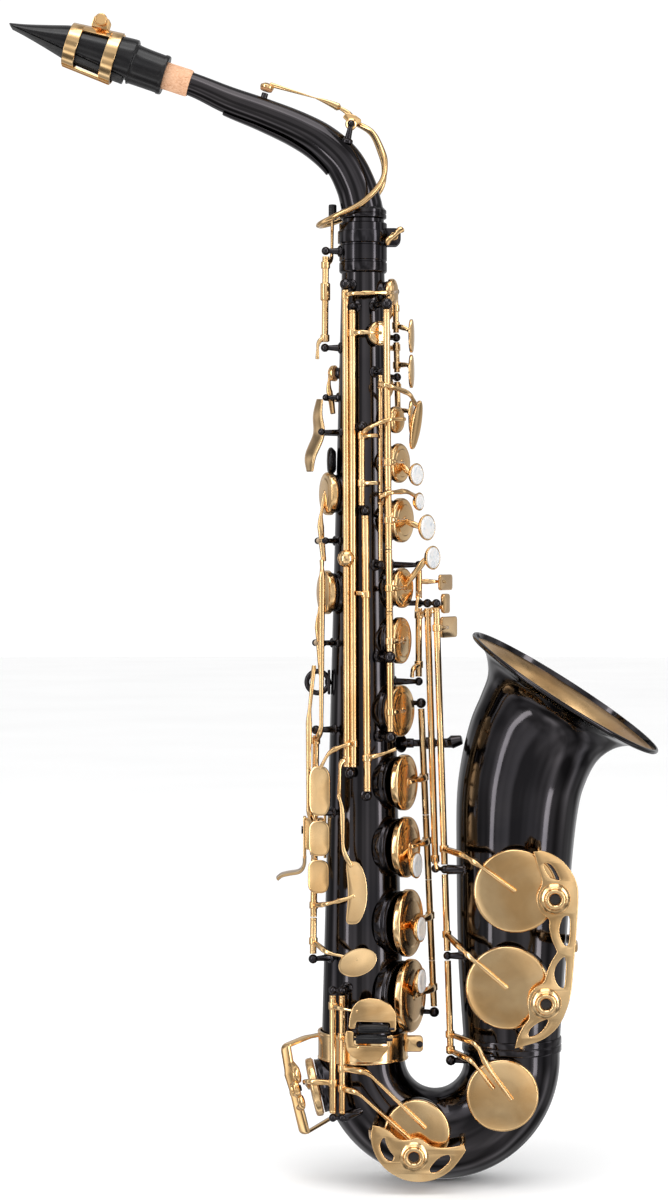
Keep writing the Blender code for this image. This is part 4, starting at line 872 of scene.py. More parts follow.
def joints_of_the_tubes():
    """The bow clamp and the ring between bell and bow."""
    loop = [(67.4, BOW_IN_R + 0.4), (83.4, BOW_IN_R + 0.4), (83.4, BOW_IN_R + 1.7), (82.6, BOW_IN_R + 2.0),
            (81.6, BOW_IN_R + 1.55), (69.2, BOW_IN_R + 1.55), (68.2, BOW_IN_R + 2.0), (67.4, BOW_IN_R + 1.7)]
    ear = [turned_ring((0, 0, 0), UP, loop, FINE, 0.25)]
    for side in (-1, 1):
        ear.append(plate([(-5.5, -4.5), (3.2, -4.5), (4.5, -3.2), (4.5, 3.2), (3.2, 4.5), (-5.5, 4.5)],
                         (29.5, side * 1.5, 75.5), ALONG_X, UP, 1.6, corner=1.0))
    show("bow_clamp", "root", ear, "gold_lacquer", ["bow_clamp_band"])
    screw = [turned((32.0, -3.3, 75.5), (0, 1, 0), [(0, 0), (0, 1.9), (6.6, 1.9), (6.6, 0)], 24)]
    show("bow_clamp_screw", "root", screw + slotted((32.0, -3.3, 75.5), NEAR, 1.8), "black_nickel")
    loop = [(71.8, BOW_OUT_R + 0.35), (80.0, BOW_OUT_R + 0.35), (80.0, BOW_OUT_R + 0.7),
            (79.2, BOW_OUT_R + 0.95),
            (76.4, BOW_OUT_R + 0.95), (76.1, BOW_OUT_R + 0.65), (75.7, BOW_OUT_R + 0.65),
            (75.4, BOW_OUT_R + 0.95),
            (72.6, BOW_OUT_R + 0.95), (71.8, BOW_OUT_R + 0.7)]
    show("bell_ring", "root", [turned_ring((BELL_X, 0, 0), UP, loop, FINE, 0.25)], "black_nickel",
         ["bell_bow_ring"])


def bell_brace():
    """The brace between the body tube and the bell."""
    path = [(19.2, 7.6, 245.0), (24.0, 11.5, 245.0), (48.0, 11.5, 245.0), (56.4, 10.0, 247.0)]
    shapes = [sweep(path, [3.2, 2.0, 2.0, 2.6], bend=3.0, sides=24)]
    for x in (26.5, 37.5, 48.0):
        wide = 3.4 if x == 37.5 else 2.7
        shapes.append(turned((x, 11.5, 245.0), ALONG_X, [(-2.6, 0), (-2.6, wide), (2.6, wide), (2.6, 0)],
                             36, 0.6))
    shapes.append(turned((37.5, 11.5, 245.0), ALONG_X, [(-4, 0), (-4, 2.8), (4, 2.8), (4, 0)], 36, 0.5))
    show("brace", "root", shapes, "black_nickel", ["bell_brace"])


def strap_ring():
    major, minor = 6.1, 1.5
    path = []
    for i in range(48):
        turn = math.tau * i / 48
        path.append(Vector((RING_X + major * math.cos(turn), 0, RING_Z + major * math.sin(turn))))
    shapes = [bar(path, [minor] * 48, 20, closed=True)]
    shoe = body_radius(RING_Z) + GAP
    shapes.append(plate([(-4, -7), (4, -7), (4, 7), (-4, 7)], (-shoe - 0.8, 0, RING_Z), (0, 1, 0), UP, 1.6,
                        corner=3.0))
    shapes.append(turned((-shoe - 0.2, 0, RING_Z), -ALONG_X,
                         [(0, 0), (0, 3.4), (1.8, 2.6), (3.0, 1.2), (3.0, 0)], 32))
    show("sling_ring", "root", shapes, "black_nickel", ["strap_ring"])


def thumb_parts():
    shoe = body_radius(196) + GAP
    side = Vector((0, 1, 0))
    shapes = [plate([(-5, -16), (5, -16), (5, 16), (-5, 16)], (-shoe - 0.9, 6, 196), side, UP, 1.6,
                    corner=4.0)]
    shapes.append(plate([(-5.2, -9), (5.2, -9), (5.2, 9), (-5.2, 9)], (-shoe - 6.8, 6, 194), ALONG_X, UP, 7,
                        corner=1.5))
    shapes.append(plate([(-3, -15), (3, -15), (3, 12), (-3, 12)], (-33.0, 6, 192), side, UP, 1.8, corner=2.4))
    hook = [(-33.0, 6, 181), (-33.4, 6, 176), (-36, 6, 172.6), (-42, 6, 171.4), (-46.0, 6, 170.4),
            (-48.6, 6, 168.4)]
    path = flow([Vector(p) for p in hook], 6)
    shapes.append(bar(path, [1.1] * len(path), 24, squash=8.0, hint=UP, power=0.7))
    show("thumb_hook_metal", "root", shapes, "gold_lacquer", ["thumb_hook"])
    show("thumb_hook_screw", "root", slotted((-34.2, 6, 196), -ALONG_X, 2.2), "black_nickel")
    shoe = body_radius(407) + GAP
    profile = [(shoe, 0), (shoe, 5.4), (shoe + 2.4, 8.0), (shoe + 4.2, 7.6), (shoe + 5.2, 5.2),
               (shoe + 5.4, 0)]
    show("thumb_rest_pad", "root", [turned((0, 0, 405), -ALONG_X, profile, 48, 1.2)], "ebonite",
         ["thumb_rest"])


# ---- key guards ----------------------------------------------------------------------
def boss(centre, facing, scale=1.0):
    """The threaded cup of a guard that holds a bumper."""
    loop = [(0.2, 3.0), (0.2, 8.0), (3.0, 8.7), (4.4, 8.5), (5.4, 7.2), (6.0, 6.1), (6.3, 5.9), (7.6, 5.6),
            (8.0, 5.0), (8.0, 3.9), (7.2, 3.1), (4.0, 3.0)]
    return turned_ring(centre, facing, [(a * scale, r * scale) for a, r in loop], 56, 0.35)


def bumper(name, centre, facing, scale=1.0):
    profile = [(-1.4, 0), (-1.4, 2.95), (5.2, 2.95), (5.2, 0)]
    shapes = [turned(centre, facing, [(a * scale, r * scale) for a, r in profile], 32, 0.4)]
    show(name, "root", shapes, "felt")


def guards():
    """The guards over the bell keys, the low C key and the low E flat key."""
    edge = [(93.1, 189.2), (97.5, 189.6), (102.8, 188.2), (109.0, 184.0), (113.8, 178.4), (117.0, 171.4),
            (117.8, 164.0), (117.0, 148.6), (115.4, 127.6), (113.9, 111.9), (111.5, 102.4), (107.4, 93.8),
            (101.2, 87.6), (93.6, 83.8), (82.9, 80.9), (84.2, 86.4), (87.4, 93.0), (90.4, 96.8), (90.6, 99.6),
            (89.9, 105.6), (91.2, 111.0), (94.4, 114.6), (98.6, 117.4), (100.7, 123.4), (103.2, 129.4),
            (106.1, 134.0), (103.4, 140.0), (101.8, 146.6), (101.6, 151.8), (98.0, 154.9), (95.2, 159.6),
            (95.0, 165.4), (97.4, 170.6), (97.4, 174.6), (95.2, 181.4)]
    tips = {0, 14, 25}
    holes = [[(98.6, 182.0), (101.6, 182.6), (104.6, 179.6), (107.4, 173.8), (104.9, 174.2), (101.4, 176.0)],
             [(108.6, 151.4), (110.8, 153.8), (113.0, 152.0), (112.4, 139.0), (110.0, 138.0), (107.3, 144.6)],
             [(110.6, 130.6), (110.2, 115.6), (108.0, 114.6), (105.6, 117.6), (104.6, 122.4), (106.4, 127.6)],
             [(100.6, 96.8), (100.6, 94.4), (97.2, 90.0), (92.4, 87.4), (90.4, 88.2), (91.6, 91.6),
              (95.6, 94.8)]]

    def smoothed(points, sharp=()):
        loop = []
        vectors = [Vector(p) for p in points]
        path = flow(vectors, 5, closed=True)
        for i in range(len(vectors)):
            if i in sharp or (i + 1) % len(vectors) in sharp:
                loop.append(tuple(vectors[i]))
            else:
                loop += [tuple(p) for p in path[i * 5:i * 5 + 5]]
        return loop

    guard_y = -48.5
    centre = (0, guard_y, 0)
    outlines = [smoothed(edge, tips)] + [smoothed(hole) for hole in holes]
    shapes = [cut_plate(outlines, centre, ALONG_X, UP, 2.2)]
    for points in (((96.6, guard_y, 187.6), (96.4, -43, 191.0), (96.2, -33.0, 191.4)),
                   ((86.5, guard_y, 83.2), (87.5, -42, 80.6), (88.0, -28.4, 80.4)),
                   ((116.2, guard_y, 136), (116.8, -43, 136), (115.4, -8.6, 136))):
        shapes.append(sweep(points, [2.3, 2.2, 2.6], squash=0.5, hint=UP, bend=3.0, power=0.7))
    spots = ((104.8, 163.2), (99.9, 105.6))
    for x, z in spots:
        shapes.append(boss((x, -45.6, z), NEAR))
    show("bell_guard", "root", shapes, "gold_lacquer", ["bell_key_guard"])
    for number, (x, z) in enumerate(spots, start=1):
        bumper(f"bell_guard_felt_{number}", (x, -45.6, z), NEAR)

    edge = [(4.9, 37.6), (9.2, 36.8), (14.0, 34.4), (17.8, 31.0), (21.4, 29.4), (25.1, 29.6), (29.7, 30.6),
            (33.2, 28.9), (37.6, 26.0), (43.2, 25.0), (49.3, 25.6), (55.2, 26.8), (56.3, 23.9), (53.6, 19.4),
            (48.2, 12.9), (41.7, 8.6), (35.7, 6.7), (29.7, 6.2), (23.6, 7.0), (17.6, 9.5), (11.6, 13.7),
            (7.2, 19.6), (4.6, 26.0), (3.8, 32.0)]
    holes = [[(10.6, 30.4), (12.6, 29.4), (13.8, 24.9), (16.4, 20.9), (15.6, 18.0), (13.4, 18.2),
              (10.6, 21.4),
              (9.0, 26.4)],
             [(46.6, 21.2), (47.6, 19.0), (46.0, 16.2), (41.7, 12.6), (38.2, 11.4), (36.4, 12.8),
              (37.6, 15.4),
              (41.7, 19.6)]]
    guard_y = -43.4
    shapes = [cut_plate([smoothed(edge, {0, 11})] + [smoothed(hole) for hole in holes], (0, guard_y, 0),
                        ALONG_X, UP, 2.2)]
    for points in (((6.4, guard_y, 34.0), (4.4, -38, 31.6), (4.6, -25.6, 30.0)),
                   ((54.0, guard_y, 24.6), (55.4, -38, 26.0), (54.5, -27.6, 27))):
        shapes.append(sweep(points, [2.1, 2.0, 2.5], squash=0.5, hint=UP, bend=3.0, power=0.7))
    shapes.append(boss((27.6, -39.8, 20.2), NEAR))
    show("low_c_guard_metal", "root", shapes, "gold_lacquer", ["low_c_guard"])
    bumper("low_c_guard_felt", (27.6, -39.8, 20.2), NEAR)

    rail = [(-20.0, 18.0, 78.5), (-32.0, 15.0, 76.6), (-44.0, 9.0, 72.6), (-41.6, 3.0, 60.0), (-38.5, 0, 47),
            (-35.4, 4.0, 34.0), (-33.0, 9.0, 22.6), (-18.5, 15.5, 30.0)]
    facing = Vector((-1, 0, -0.25)).normalized()
    shapes = [sweep(rail, [1.1, 1.2, 1.2, 1.2, 1.3, 1.2, 1.2, 1.1], squash=3.2, hint=-ALONG_X, bend=2.2,
                    power=0.7)]
    shapes.append(boss((-35.6, 0, 50.3), facing, 0.66))
    for points in (((-41.2, 4.5, 64), (-37.0, -4.0, 60), (-36.8, -2.4, 54)),
                   ((-36.2, 3.0, 38), (-34.0, -4.0, 41), (-35.8, -2.0, 46))):
        shapes.append(sweep(points, [1.3, 1.2, 1.3], squash=1.5, bend=3.0, power=0.7))
    show("low_eb_guard_metal", "root", shapes, "gold_lacquer", ["low_eb_guard"])
    bumper("low_eb_guard_felt", (-35.6, 0, 50.3), facing, 0.62)


# ---- neck and mouthpiece -------------------------------------------------------------
def neck():
    plain = [(Vector((0, 0, 516)), UP, 11.8), (Vector((0, 0, 541)), UP, 11.8)]
    collar = [(Vector((0, 0, z)), UP, r) for z, r in (
        (541.5, 12.9), (541.9, 13.2), (543.4, 13.2), (543.7, 12.9), (544.1, 12.9), (544.4, 13.2),
        (546.0, 13.2),
        (546.4, 12.8))]
    rows = [Vector(row) for row in reversed(NECK)]
    tip = Vector((rows[-1].x, 0, rows[-1].y)) + MOUTHPIECE_AXIS * 30
    rows = flow(rows + [Vector((tip.x, tip.z, NECK[0][2]))], 10)
    centres = [Vector((row.x, 0, row.y)) for row in rows]
    curve = []
    for i, centre in enumerate(centres):
        before = centres[i - 1] if i else Vector((0, 0, 540))
        after = centres[min(i + 1, len(centres) - 1)]
        curve.append((centre, (after - before).normalized(), rows[i].z))
    outside = [circle(c, a, r, 72) for c, a, r in plain + collar + curve]
    inside = [circle(c, a, r - WALL, 72) for c, a, r in reversed(plain + curve)]
    shapes = [stack(outside + inside, closed=True)]
    for side in (-1, 1):
        foot, head = Vector((-9.0, side * 5.0, 584.5)), Vector((-6.8, side * 7.0, 594.2))
        shapes += shaft(foot, [head], [2.0, 1.2]) + [ball(head, 2.1, NEAR)]
    shapes.append(turned((-57.0, 0, 606.4), (0.3, 0, 0.95),
                         [(0, 0), (0, 2.4), (3.0, 1.9), (6.2, 1.9), (6.2, 0)], 28))
    # the strip that stiffens the underside of the bend
    strip, widths = [], []
    for i in range(20, 61, 2):
        centre, axis, radius = curve[i]
        swell = math.sin(math.pi * (i - 20) / 40)
        strip.append(centre - Vector((axis.z, 0, -axis.x)) * (radius + 0.4 + 0.4 * swell))
        widths.append(3.0 + 1.6 * swell)
    shapes.append(bar(strip, widths, 24, squash=0.3, power=0.7))
    show("neck_metal", "neck", shapes, "black_nickel", ["neck_tube"])
    start = Vector((NECK[0][0], 0, NECK[0][1])) + MOUTHPIECE_AXIS * 0.8
    loop = [(0, 7.2), (1.2, 7.7), (14, 7.66), (27.5, 7.5), (28.4, 7.2), (28.4, 6.95), (0, 6.95)]
    cork = turned_ring(start, MOUTHPIECE_AXIS, loop, 64, 0.5)
    for vertex in cork.verts:
        ripple = math.sin(vertex.co.x * 2.3 + vertex.co.y * 3.1) * math.cos(vertex.co.z * 2.7) * 0.03
        along = vertex.co - start
        spoke = (along - MOUTHPIECE_AXIS * along.dot(MOUTHPIECE_AXIS)).normalized()
        vertex.co += spoke * ripple
    show("cork_sleeve", "neck", [cork], "cork", ["neck_cork"])


def mouthpiece_point(s, t, side=0.0):
    """s runs from the shank's end to the tip, t upwards from the bore's axis."""
    return MOUTHPIECE_END + MOUTHPIECE_AXIS * s + Vector((0.310, 0, 0.951)) * t + Vector((0, side, 0))


TIP = 91.6
TABLE_START = 21.0


def table_height(s):
    return -8.6 + (s - TABLE_START) * 8.0 / (TIP - TABLE_START)


# station, top, bottom, half width
MOUTHPIECE = [(0, 10.9, -10.9, 10.9), (1.0, 11.3, -11.2, 11.2), (2.6, 11.3, -11.2, 11.2),
              (3.2, 10.95, -10.8, 10.9),
              (17.5, 11.8, -10.6, 11.3), (19.2, 13.6, -10.8, 12.4), (21.0, 14.3, -11.2, 12.9),
              (32.0, 13.4, -11.0, 12.6), (46.0, 12.0, -10.2, 11.9), (58.0, 10.5, -9.6, 11.0),
              (70.0, 7.0, -8.4, 10.0),
              (82.0, 3.4, -6.0, 8.8), (TIP, 0.9, -3.0, 7.6)]


def mouthpiece():
    rows = flow([Vector(row) for row in MOUTHPIECE], 6)
    rings = []
    for s, top, bottom, half in rows:
        middle, height = (top + bottom) / 2, (top - bottom) / 2
        ring = []
        for i in range(72):
            turn = math.tau * (i + 0.5) / 72
            t = middle + height * math.sin(turn)
            if s >= TABLE_START:
                t = max(t, table_height(s))
            ring.append(mouthpiece_point(s, t, half * math.cos(turn)))
        rings.append(ring)
    holes = [turned(mouthpiece_point(-1, 0), MOUTHPIECE_AXIS, [(0, 0), (0, 8.0), (19.5, 8.0), (19.5, 0)],
                    48, 0.01),
             turned(mouthpiece_point(10, 0), MOUTHPIECE_AXIS, [(0, 0), (0, 6.0), (40, 4.6), (40, 0)], 48,
                    0.01)]
    drilled("mouthpiece_body", "mouthpiece", stack(rings), holes, "ebonite", ["mouthpiece"])
    rows = []
    for s, thick, half in ((TABLE_START + 1.5, 3.4, 6.2), (30, 3.9, 6.3), (54, 4.6, 6.8), (58, 4.2, 6.9),
                           (70, 2.6, 7.1),
                           (82, 1.2, 7.3), (TIP - 0.6, 0.25, 7.4)):
        top = table_height(s) - GAP
        under = []
        for i in range(17):
            turn = math.pi * i / 16
            under.append((top - 0.15 - (thick - 0.15) * math.sin(turn) ** 0.8, half * math.cos(turn)))
        rows.append([mouthpiece_point(s, t, y) for t, y in [(top, half), *under, (top, -half)]])
    show("reed_blade", "mouthpiece", [stack(rows)], "reed_resin", ["reed"])


def ligature():
    """Two bands with a plate between them under the reed, closed by a screw on top."""
    def top_bottom(s):
        share = (s - 28.5) / 29.5
        return 13.9 - 3.0 * share, -12.9 + 2.0 * share, 13.1 - 1.7 * share

    def strip(low, high, start, end, inner=0.5, outer=1.5):
        """Part of the sleeve, between two angles; 90 is the top."""
        steps = max(int((end - start) / 4), 2)
        rows = []
        stations = [(low, inner), (low, outer - 0.25), (low + 0.3, outer), (high - 0.3, outer),
                    (high, outer - 0.25),
                    (high, inner)]
        for i in range(steps + 1):
            turn = math.radians(start + (end - start) * i / steps)
            ring = []
            for s, extra in stations:
                top, bottom, half = top_bottom(s)
                middle, height = (top + bottom) / 2, (top - bottom) / 2 + extra
                ring.append(mouthpiece_point(s, middle + height * math.sin(turn),
                                             (half + extra) * math.cos(turn)))
            rows.append(ring)
        return stack(rows)

    shapes = []
    for low, high in ((28.6, 35.4), (50.8, 57.8)):
        shapes.append(strip(low, high, 100, 440))
    shapes.append(strip(35.0, 51.2, 250, 290, 0.6, 1.7))
    shapes.append(strip(35.0, 51.2, 100, 141))
    shapes.append(strip(35.0, 51.2, 399, 440))
    for start in (253, 268.5, 284):
        shapes.append(strip(29.0, 57.4, start, start + 3, 1.4, 2.1))
    across = mouthpiece_point(0, 1) - mouthpiece_point(0, 0)
    for side in (-1, 1):
        shapes.append(plate([(-5, -2.4), (5, -2.9), (5, 2.6), (3.4, 4), (-3.4, 4), (-5, 2.6)],
                            mouthpiece_point(43.2, 16.0, side * 3.0), MOUTHPIECE_AXIS, across, 1.8,
                            corner=1.2))
        shapes.append(turned(mouthpiece_point(43.2, 17.6, side * 2.1), (0, side, 0),
                             [(0, 0), (0, 2.6), (2.6, 2.6), (2.6, 0)], 28))
    show("ligature_bands", "mouthpiece", shapes, "gold_lacquer", ["ligature"])
    centre = mouthpiece_point(43.2, 17.6, 0)
    screw = [turned(centre, NEAR,
                    [(-5.6, 0), (-5.6, 1.3), (4.8, 1.3), (5.4, 1.9), (5.6, 3.2), (6.0, 3.4), (9.2, 3.4),
                                   (9.6, 3.0), (9.6, 0)], 32, 0.25)]
    for i in range(20):
        turn = math.tau * i / 20
        spoke = Vector((math.cos(turn), 0, math.sin(turn)))
        screw.append(sweep([centre + NEAR * 5.9 + spoke * 3.35, centre + NEAR * 9.3 + spoke * 3.35], 0.26,
                           sides=8))
    show("ligature_thumbscrew", "ligature_screw", screw, "gold_lacquer", ["ligature_screw"])


def neck_screw():
    shapes = [turned(NECK_SCREW, NEAR, [(-7, 0), (-7, 1.6), (5.4, 1.6), (5.6, 2.3), (8.2, 2.3), (8.5, 0)],
                     32, 0.3)]
    wing = [(-1.2, -1.8), (1.2, -1.8), (3.0, -0.6), (5.6, -2.4), (6.9, -0.6), (6.2, 1.9), (3.4, 2.6),
            (0, 1.4),
            (-3.4, 2.6), (-6.2, 1.9), (-6.9, -0.6), (-5.6, -2.4), (-3.0, -0.6)]
    shapes.append(plate(wing, NECK_SCREW + NEAR * 9.6, (0.75, 0, 0.66), (-0.45, -0.68, 0.51), 1.9,
                        corner=1.4))
    show("neck_thumbscrew", "neck_screw", shapes, "gold_lacquer", ["neck_screw"])


# ---- octave keys ---------------------------------------------------------------------
def octave_keys():
    """The neck octave key, the thumb lever and the upright rod."""
    pivot = Vector((-6.8, -4.4, 594.2))
    far = pivot + Vector((0, 8.8, 0))
    shapes = [turned(pivot, (0, 1, 0), [(0, 0), (0, 2.5), (2.2, 2.5), (2.6, 1.9), (6.2, 1.9), (6.6, 2.5),
                                        (8.8, 2.5), (8.8, 0)], 32)]
    shapes.append(plate([(-4.2, -3.4), (4.2, -3.4), (4.2, 3.4), (-4.2, 3.4)], pivot + Vector((0.4, 4.4, 2.0)),
                        (0, 1, 0), (0.25, 0, 0.97), 1.4, corner=1.4))
    shapes.append(turned(pivot + Vector((0, -0.4, 0)), NEAR,
                         [(0, 0), (0, 3.4), (1.0, 3.2), (1.6, 2.0), (1.6, 0)], 32))
    shapes.append(plate([(-5.4, -1.6), (0.4, -3.0), (5.4, 0.2), (4.6, 2.6), (0.4, 3.0), (-4.8, 1.6)],
                        pivot + Vector((0.6, -0.2, 2.6)), (0.86, 0, -0.5), (0.5, 0, 0.86), 1.3, corner=1.0))
    shapes.append(sweep([(-6.8, 0, 594.6), (-6.6, 0, 600.6), (-20.3, 0, 607.6), (-52.5, 0, 617.2)],
                        [2.0, 1.9, 1.8, 1.6], squash=0.85, bend=7, power=0.7))
    shapes.append(turned((-54.8, 0, 613.6), (0.3, 0, 0.95),
                         [(1.3, 0), (1.3, 3.9), (3.0, 3.9), (3.9, 2.6), (4.4, 1.8),
                                                           (4.4, 0)], 36))
    loop = [(-5.6, 0, 596.0), (4.5, -4.2, 590.5), (10.0, -11.5, 580.0), (12.2, -15.0, 571.0),
            (10.0, -17.4, 560.0),
            (-0.8, -18.6, 548.5), (-15.6, -14.4, 541.5), (-24.0, -5.4, 538.2)]
    loop += [(x, -y, z) for x, y, z in reversed(loop[1:])]
    path = flow([Vector(p) for p in loop], 5, closed=True)
    shapes.append(bar(path, [1.35] * len(path), 16, squash=1.15, closed=True, power=0.75))
    key("neck_octave_key", (pivot, far), shapes)
    with_key("neck_octave_key", "pad",
             [turned((-54.8, 0, 613.6), (0.3, 0, 0.95), [(-0.3, 0), (-0.3, 2.7), (0.2, 3.5),
                                                                                 (1.5, 3.6), (1.5, 0)], 32)],
             "pad_leather")
    shapes = [tube(OCTAVE_ROD, 471.8, 519.8), hub(OCTAVE_ROD, 515, 2.6), hub(OCTAVE_ROD, 474, 2.6)]
    shapes.append(arm(OCTAVE_ROD(515), (-17.6, 1.8, 519), (-17.2, 1.8, 549.5)))
    shapes.append(turned(OCTAVE_ROD(500), UP, [(-5, 0), (-5, 2.8), (5, 2.8), (5, 0)], 32, 0.8))
    shapes.append(arm(OCTAVE_ROD(474), (-25.5, -7.5, 472), (-25.8, -7.5, 462)))
    key("octave_rod", (OCTAVE_ROD(471.8), OCTAVE_ROD(519.8)), shapes)
    sleeve = [(0, 0), (0, 2.0), (0.6, 2.3), (8.2, 2.3), (8.8, 2.0), (8.8, 0)]
    with_key("octave_rod", "pin_sleeve", [turned((-17.2, 1.8, 541.0), UP, sleeve, 32)], "ebonite")
    start = Vector((-23.4, -10.2, 421.0))
    end = start + Vector((0, 20.4, 0))
    shapes = [turned(start, (0, 1, 0), [(0, 0), (0, 1.9), (20.4, 1.9), (20.4, 0)], 24)]
    lever = [(-24.4, 0, 440, 0.8), (-25.6, 0, 431, 1.15), (-25.0, 0, 420, 1.4), (-29.6, 0, 408, 1.35),
             (-30.0, 0, 399, 0.8)]
    path = flow([Vector(p) for p in lever], 8)
    shapes.append(bar([p.xyz for p in path], [p.w for p in path], 32, squash=5.2,
                      hint=Vector((1, 0.42, 0.3)), power=0.8))
    key("octave_lever", (start, end), shapes)


def rocker_key(name, tail):
    """A side key whose cup and tail sit above and below a hinge across the tube."""
    theta, z, reach = ROCKERS[name]
    centre, along = rocker_frame(theta, z, reach)
    face = outward(theta)
    top = over_cup(name)
    ends = (centre - along * ROCKER_HALF, centre + along * ROCKER_HALF)
    shapes = [turned(ends[0], along, [(0, 0), (0, ROD_R), (ROCKER_HALF * 2, ROD_R), (ROCKER_HALF * 2, 0)],
                     24)]
    shapes.append(arm(centre, centre.lerp(top, 0.45) + face * 1.5, top - face * 0.2, radius=1.6))
    shapes.append(arm(centre, centre + Vector((0, 0, -tail)) - face * 1.2, radius=1.9))
    shapes += [cup(name), cup_foot(name, size=1.9)]
    key(name + "_key", ends, shapes)
    pad_in(name, name + "_key")


def side_keys():
    """The side E and high F sharp keys, the side levers and the trill touch."""
    rocker_key("side_c", 11.5)
    rocker_key("side_bb", 18.0)
    rocker_key("body_octave", 9.0)
    across = Vector((1, -0.25, 0))

    def touch(centre, height, width=12.0):
        corners = [(-0.55, -1), (0.55, -1), (1, -0.7), (1, 0.7), (0.55, 1), (-0.55, 1), (-1, 0.7), (-1, -0.7)]
        return plate([(width / 2 * u, height / 2 * v) for u, v in corners], centre, across, UP, 1.8,
                     corner=3.0, crown=0.35)

    shapes = [tube(SIDE_E_ROD, 234, 488.6, LONG_ROD_R), cup("side_e"), hub(SIDE_E_ROD, 476, 2.3),
              hub(SIDE_E_ROD, 247, 2.3)]
    shapes.append(arm(SIDE_E_ROD(476), (2.0, -22.0, 476), over_cup("side_e")))
    shapes.append(arm(SIDE_E_ROD(247), (-9.2, -30.0, 247), (-19, -30.4, 243), (-24.3, -28.2, 233)))
    shapes.append(touch(Vector((-24.4, -28.2, 220.8)), 27.6))
    saddle = shaft(on_body(Vector((-9.6, -18.0, 350))), [HIGH_FS_ROD(350)],
                   [2.2, 1.8]) + [ball(HIGH_FS_ROD(350) + NEAR, 5.0)]
    show("long_rods_saddle", "root", saddle, "gold_lacquer")
    key("side_e_key", (SIDE_E_ROD(234), SIDE_E_ROD(488)), shapes)
    pad_in("side_e", "side_e_key")
    shapes = [tube(HIGH_FS_ROD, 234, 500.0, LONG_ROD_R), cup("high_fs"), hub(HIGH_FS_ROD, 497, 2.2),
              hub(HIGH_FS_ROD, 238, 2.2)]
    shapes.append(arm(HIGH_FS_ROD(497.6), (-6.0, -21.5, 497.6), (4, -23.2, 497.8), (15.4, -17.5, 498.4),
                      over_cup("high_fs")))
    shapes.append(arm(HIGH_FS_ROD(238), (-13.0, -27.2, 237), (-13.6, -27.6, 216)))
    key("high_fs_key", (HIGH_FS_ROD(234), HIGH_FS_ROD(500)), shapes)
    pad_in("high_fs", "high_fs_key")
    shapes = [tube(TOUCH_ROD, 210.4, 251.0), hub(TOUCH_ROD, 214, 2.5), hub(TOUCH_ROD, 248, 2.5)]
    shapes.append(arm(TOUCH_ROD(214), (-27.2, -20.8, 210), (-26.6, -23.0, 205), (-25.2, -28.0, 201)))
    shapes.append(touch(Vector((-24.6, -28.4, 194.4)), 19.6))
    shapes.append(arm(TOUCH_ROD(248), (-23.5, -21.5, 254), (-23.0, -22.5, 342), (-23.2, -18.5, 349),
                      radius=1.6))
    key("side_c_lever", (TOUCH_ROD(210.4), TOUCH_ROD(251)), shapes)
    shapes = [tube(TOUCH_ROD, 166.0, 204.2), hub(TOUCH_ROD, 186, 2.5), hub(TOUCH_ROD, 201.6, 2.5)]
    shapes.append(arm(TOUCH_ROD(186), (-27.2, -25.0, 183.2), (-25.4, -28.0, 180)))
    shapes.append(touch(Vector((-25.0, -28.6, 173.2)), 18.6))
    shapes.append(arm(TOUCH_ROD(202), (-30.8, -19.0, 208), (-30.4, -18.0, 262), (-27.6, -13.5, 290),
                      radius=1.6))
    key("side_bb_lever", (TOUCH_ROD(166), TOUCH_ROD(204)), shapes)
    bean = []
    for i in range(40):
        turn = math.tau * i / 40
        u = math.copysign(5.4 * abs(math.cos(turn)) ** 0.5, math.cos(turn))
        v = math.copysign(17.6 * abs(math.sin(turn)) ** 0.8, math.sin(turn))
        bean.append((u - 0.010 * v * v + 1.6, v))
    shapes = [tube(TOUCH_ROD, 149.6, 163.6), hub(TOUCH_ROD, 156, 2.5)]
    shapes.append(plate(bean, (-5.0, -31.0, 164.5), (1, 0.1, 0), UP, 1.8, corner=0.5, crown=0.3))
    shapes.append(arm(TOUCH_ROD(156), (-21, -31.0, 158), (-10, -32.2, 161), (-5.0, -31.6, 163)))
    shapes.append(arm((-6.6, -31.2, 179), (-11.4, -31.6, 188), (-11.8, -31.4, 212), (-14.0, -30.6, 219)))
    key("high_fs_lever", (TOUCH_ROD(149.6), TOUCH_ROD(163)), shapes)
    shapes = [tube(TOUCH_ROD, 129.0, 149.0), hub(TOUCH_ROD, 136, 2.5)]
    shapes.append(plate(oval(22, 15), (-3.4, -33.0, 126.0), (1, 0.1, 0.35), (-0.35, 0, 1), 1.8, corner=0.5,
                        crown=0.4))
    shapes.append(arm(TOUCH_ROD(136), (-20, -31.5, 131), (-3.0, -33.3, 127.6)))
    key("fs_trill_touch", (TOUCH_ROD(129), TOUCH_ROD(149)), shapes)


